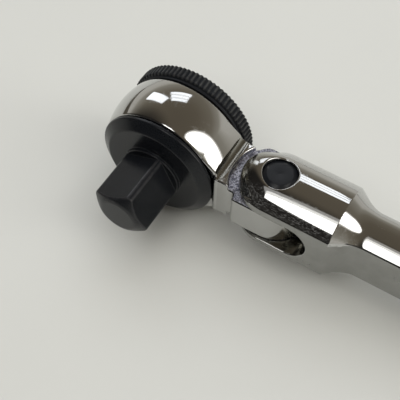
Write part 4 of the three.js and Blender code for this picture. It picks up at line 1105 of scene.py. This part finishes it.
# Lights, with their directions and angular sizes in degrees and their distances in metres
DAYLIGHT = (0.90, 0.94, 1.0)
LAMPLIGHT = (1.0, 0.99, 0.96)
PANEL_DISTANCE = 1.6
WINDOW_RADIANCE = 1.75
WINDOW_AZIMUTH, WINDOW_ELEVATION = 114, 44.5
PANES = ((-6.2, 24), (0, 22), (6.2, 20))  # how far each is raised, and its width
PANE_HEIGHT = 5.4
LAMP_RINGS = ((0, 1.9), (3, 0.9), (6, 0.4))  # how far each spreads, and its radiance
RING_STEP = 0.05  # from a lamp's ring to the next one behind it
SOFT_BOX_TOWARD, SOFT_BOX_ROLL = (7, 36), 16
SOFT_BOX_WIDTH, SOFT_BOX_HEIGHT = 22, 54
STRIP_AZIMUTH, STRIP_ELEVATION = -97, 55
STRIP_WIDTH, STRIP_HEIGHT = 18, 27
STRIP_RISE, STRIP_STRETCH = 1.2, 2.2  # how much the strip lamp's rings rise and lengthen as they spread


def panel(name, toward, size, radiance, colour, roll=0, oval=False, distance=PANEL_DISTANCE, mirrored=True):
    """A soft light that faces the hinge, in a direction given by azimuth and elevation."""
    light = bpy.data.lights.new(name, "AREA")
    light.shape = "ELLIPSE" if oval else "RECTANGLE"
    light.size, light.size_y = [2 * distance * math.tan(math.radians(angle) / 2) for angle in size]
    share = math.pi / 4 if oval else 1.0
    light.energy = radiance * math.pi * share * light.size * light.size_y
    light.color = colour
    item = bpy.data.objects.new(name, light)
    away = direction(*[math.radians(angle) for angle in toward])
    aim = (-away).to_track_quat("-Z", "Y").to_matrix() @ Matrix.Rotation(math.radians(roll), 3, "Z")
    stand = Vector((PIN_X, MID_Y, 0)) * MM + away * distance
    item.matrix_world = Matrix.Translation(stand) @ aim.to_4x4()
    item.visible_camera = False
    item.visible_glossy = mirrored
    bpy.context.scene.collection.objects.link(item)


def add_lights():
    for number, (rise, width) in enumerate(PANES):
        toward = (WINDOW_AZIMUTH, WINDOW_ELEVATION + rise)
        panel(f"window_right_{number}", toward, (width, PANE_HEIGHT), WINDOW_RADIANCE, DAYLIGHT)
    panel("window_left", (147.5, 36), (12, 28), WINDOW_RADIANCE, DAYLIGHT, roll=18)
    for number, (spread, radiance) in enumerate(LAMP_RINGS):
        lamp = {"oval": True, "distance": PANEL_DISTANCE + RING_STEP * number}
        box_size = (SOFT_BOX_WIDTH + spread, SOFT_BOX_HEIGHT + spread)
        panel(f"soft_box_{number}", SOFT_BOX_TOWARD, box_size, radiance, LAMPLIGHT, SOFT_BOX_ROLL, **lamp)
        strip_toward = (STRIP_AZIMUTH, STRIP_ELEVATION + STRIP_RISE * spread)
        strip_size = (STRIP_WIDTH + spread, STRIP_HEIGHT + STRIP_STRETCH * spread)
        panel(f"strip_lamp_{number}", strip_toward, strip_size, radiance, LAMPLIGHT, **lamp)
    panel("daylight", (118, 50), (60, 50), 1.0, DAYLIGHT, distance=0.8, mirrored=False)
    panel("ceiling", (-60, 84), (70, 70), 1.15, LAMPLIGHT, mirrored=False)


add_lights()


# Dark cards that stand on the floor, seen only in the metal
def cloth(name, low, high):
    look = Finish(name, metallic=0.0)
    return look.done(look.colours(look.noise(20.0), low, high), 0.9, look.bump(look.noise(2.0), depth=0.05))


def card(name, azimuth, distance, width, heights, finish):
    """An upright card, with its azimuth in degrees and its distance, width and two heights in metres."""
    toward = direction(math.radians(azimuth), 0)
    side = Vector((-toward.y, toward.x, 0)) * width / 2
    first, second = toward * distance - side, toward * distance + side
    first_top, second_top = [Vector((0, 0, height)) for height in heights]
    corners = [first + FLOOR_PLACE, second + FLOOR_PLACE, second + second_top, first + first_top]
    mesh = bpy.data.meshes.new(name)
    mesh.from_pydata(corners, [], FOUR_SIDED)
    mesh.materials.append(finish)
    item = bpy.data.objects.new(name, mesh)
    item.visible_camera = False
    bpy.context.scene.collection.objects.link(item)


DARK_CLOTH = cloth("dark_cloth", (0.012, 0.011, 0.010), (0.03, 0.027, 0.024))
BROWN_CLOTH = cloth("brown_cloth", (0.09, 0.08, 0.065), (0.14, 0.125, 0.10))
card("front_card", azimuth=-98, distance=0.34, width=1.3, heights=(0.2, 0.2), finish=DARK_CLOTH)
card("left_card", azimuth=178, distance=0.5, width=0.7, heights=(0.0, 0.16), finish=BROWN_CLOTH)

view = bpy.context.scene.view_settings
view.view_transform = "Standard"
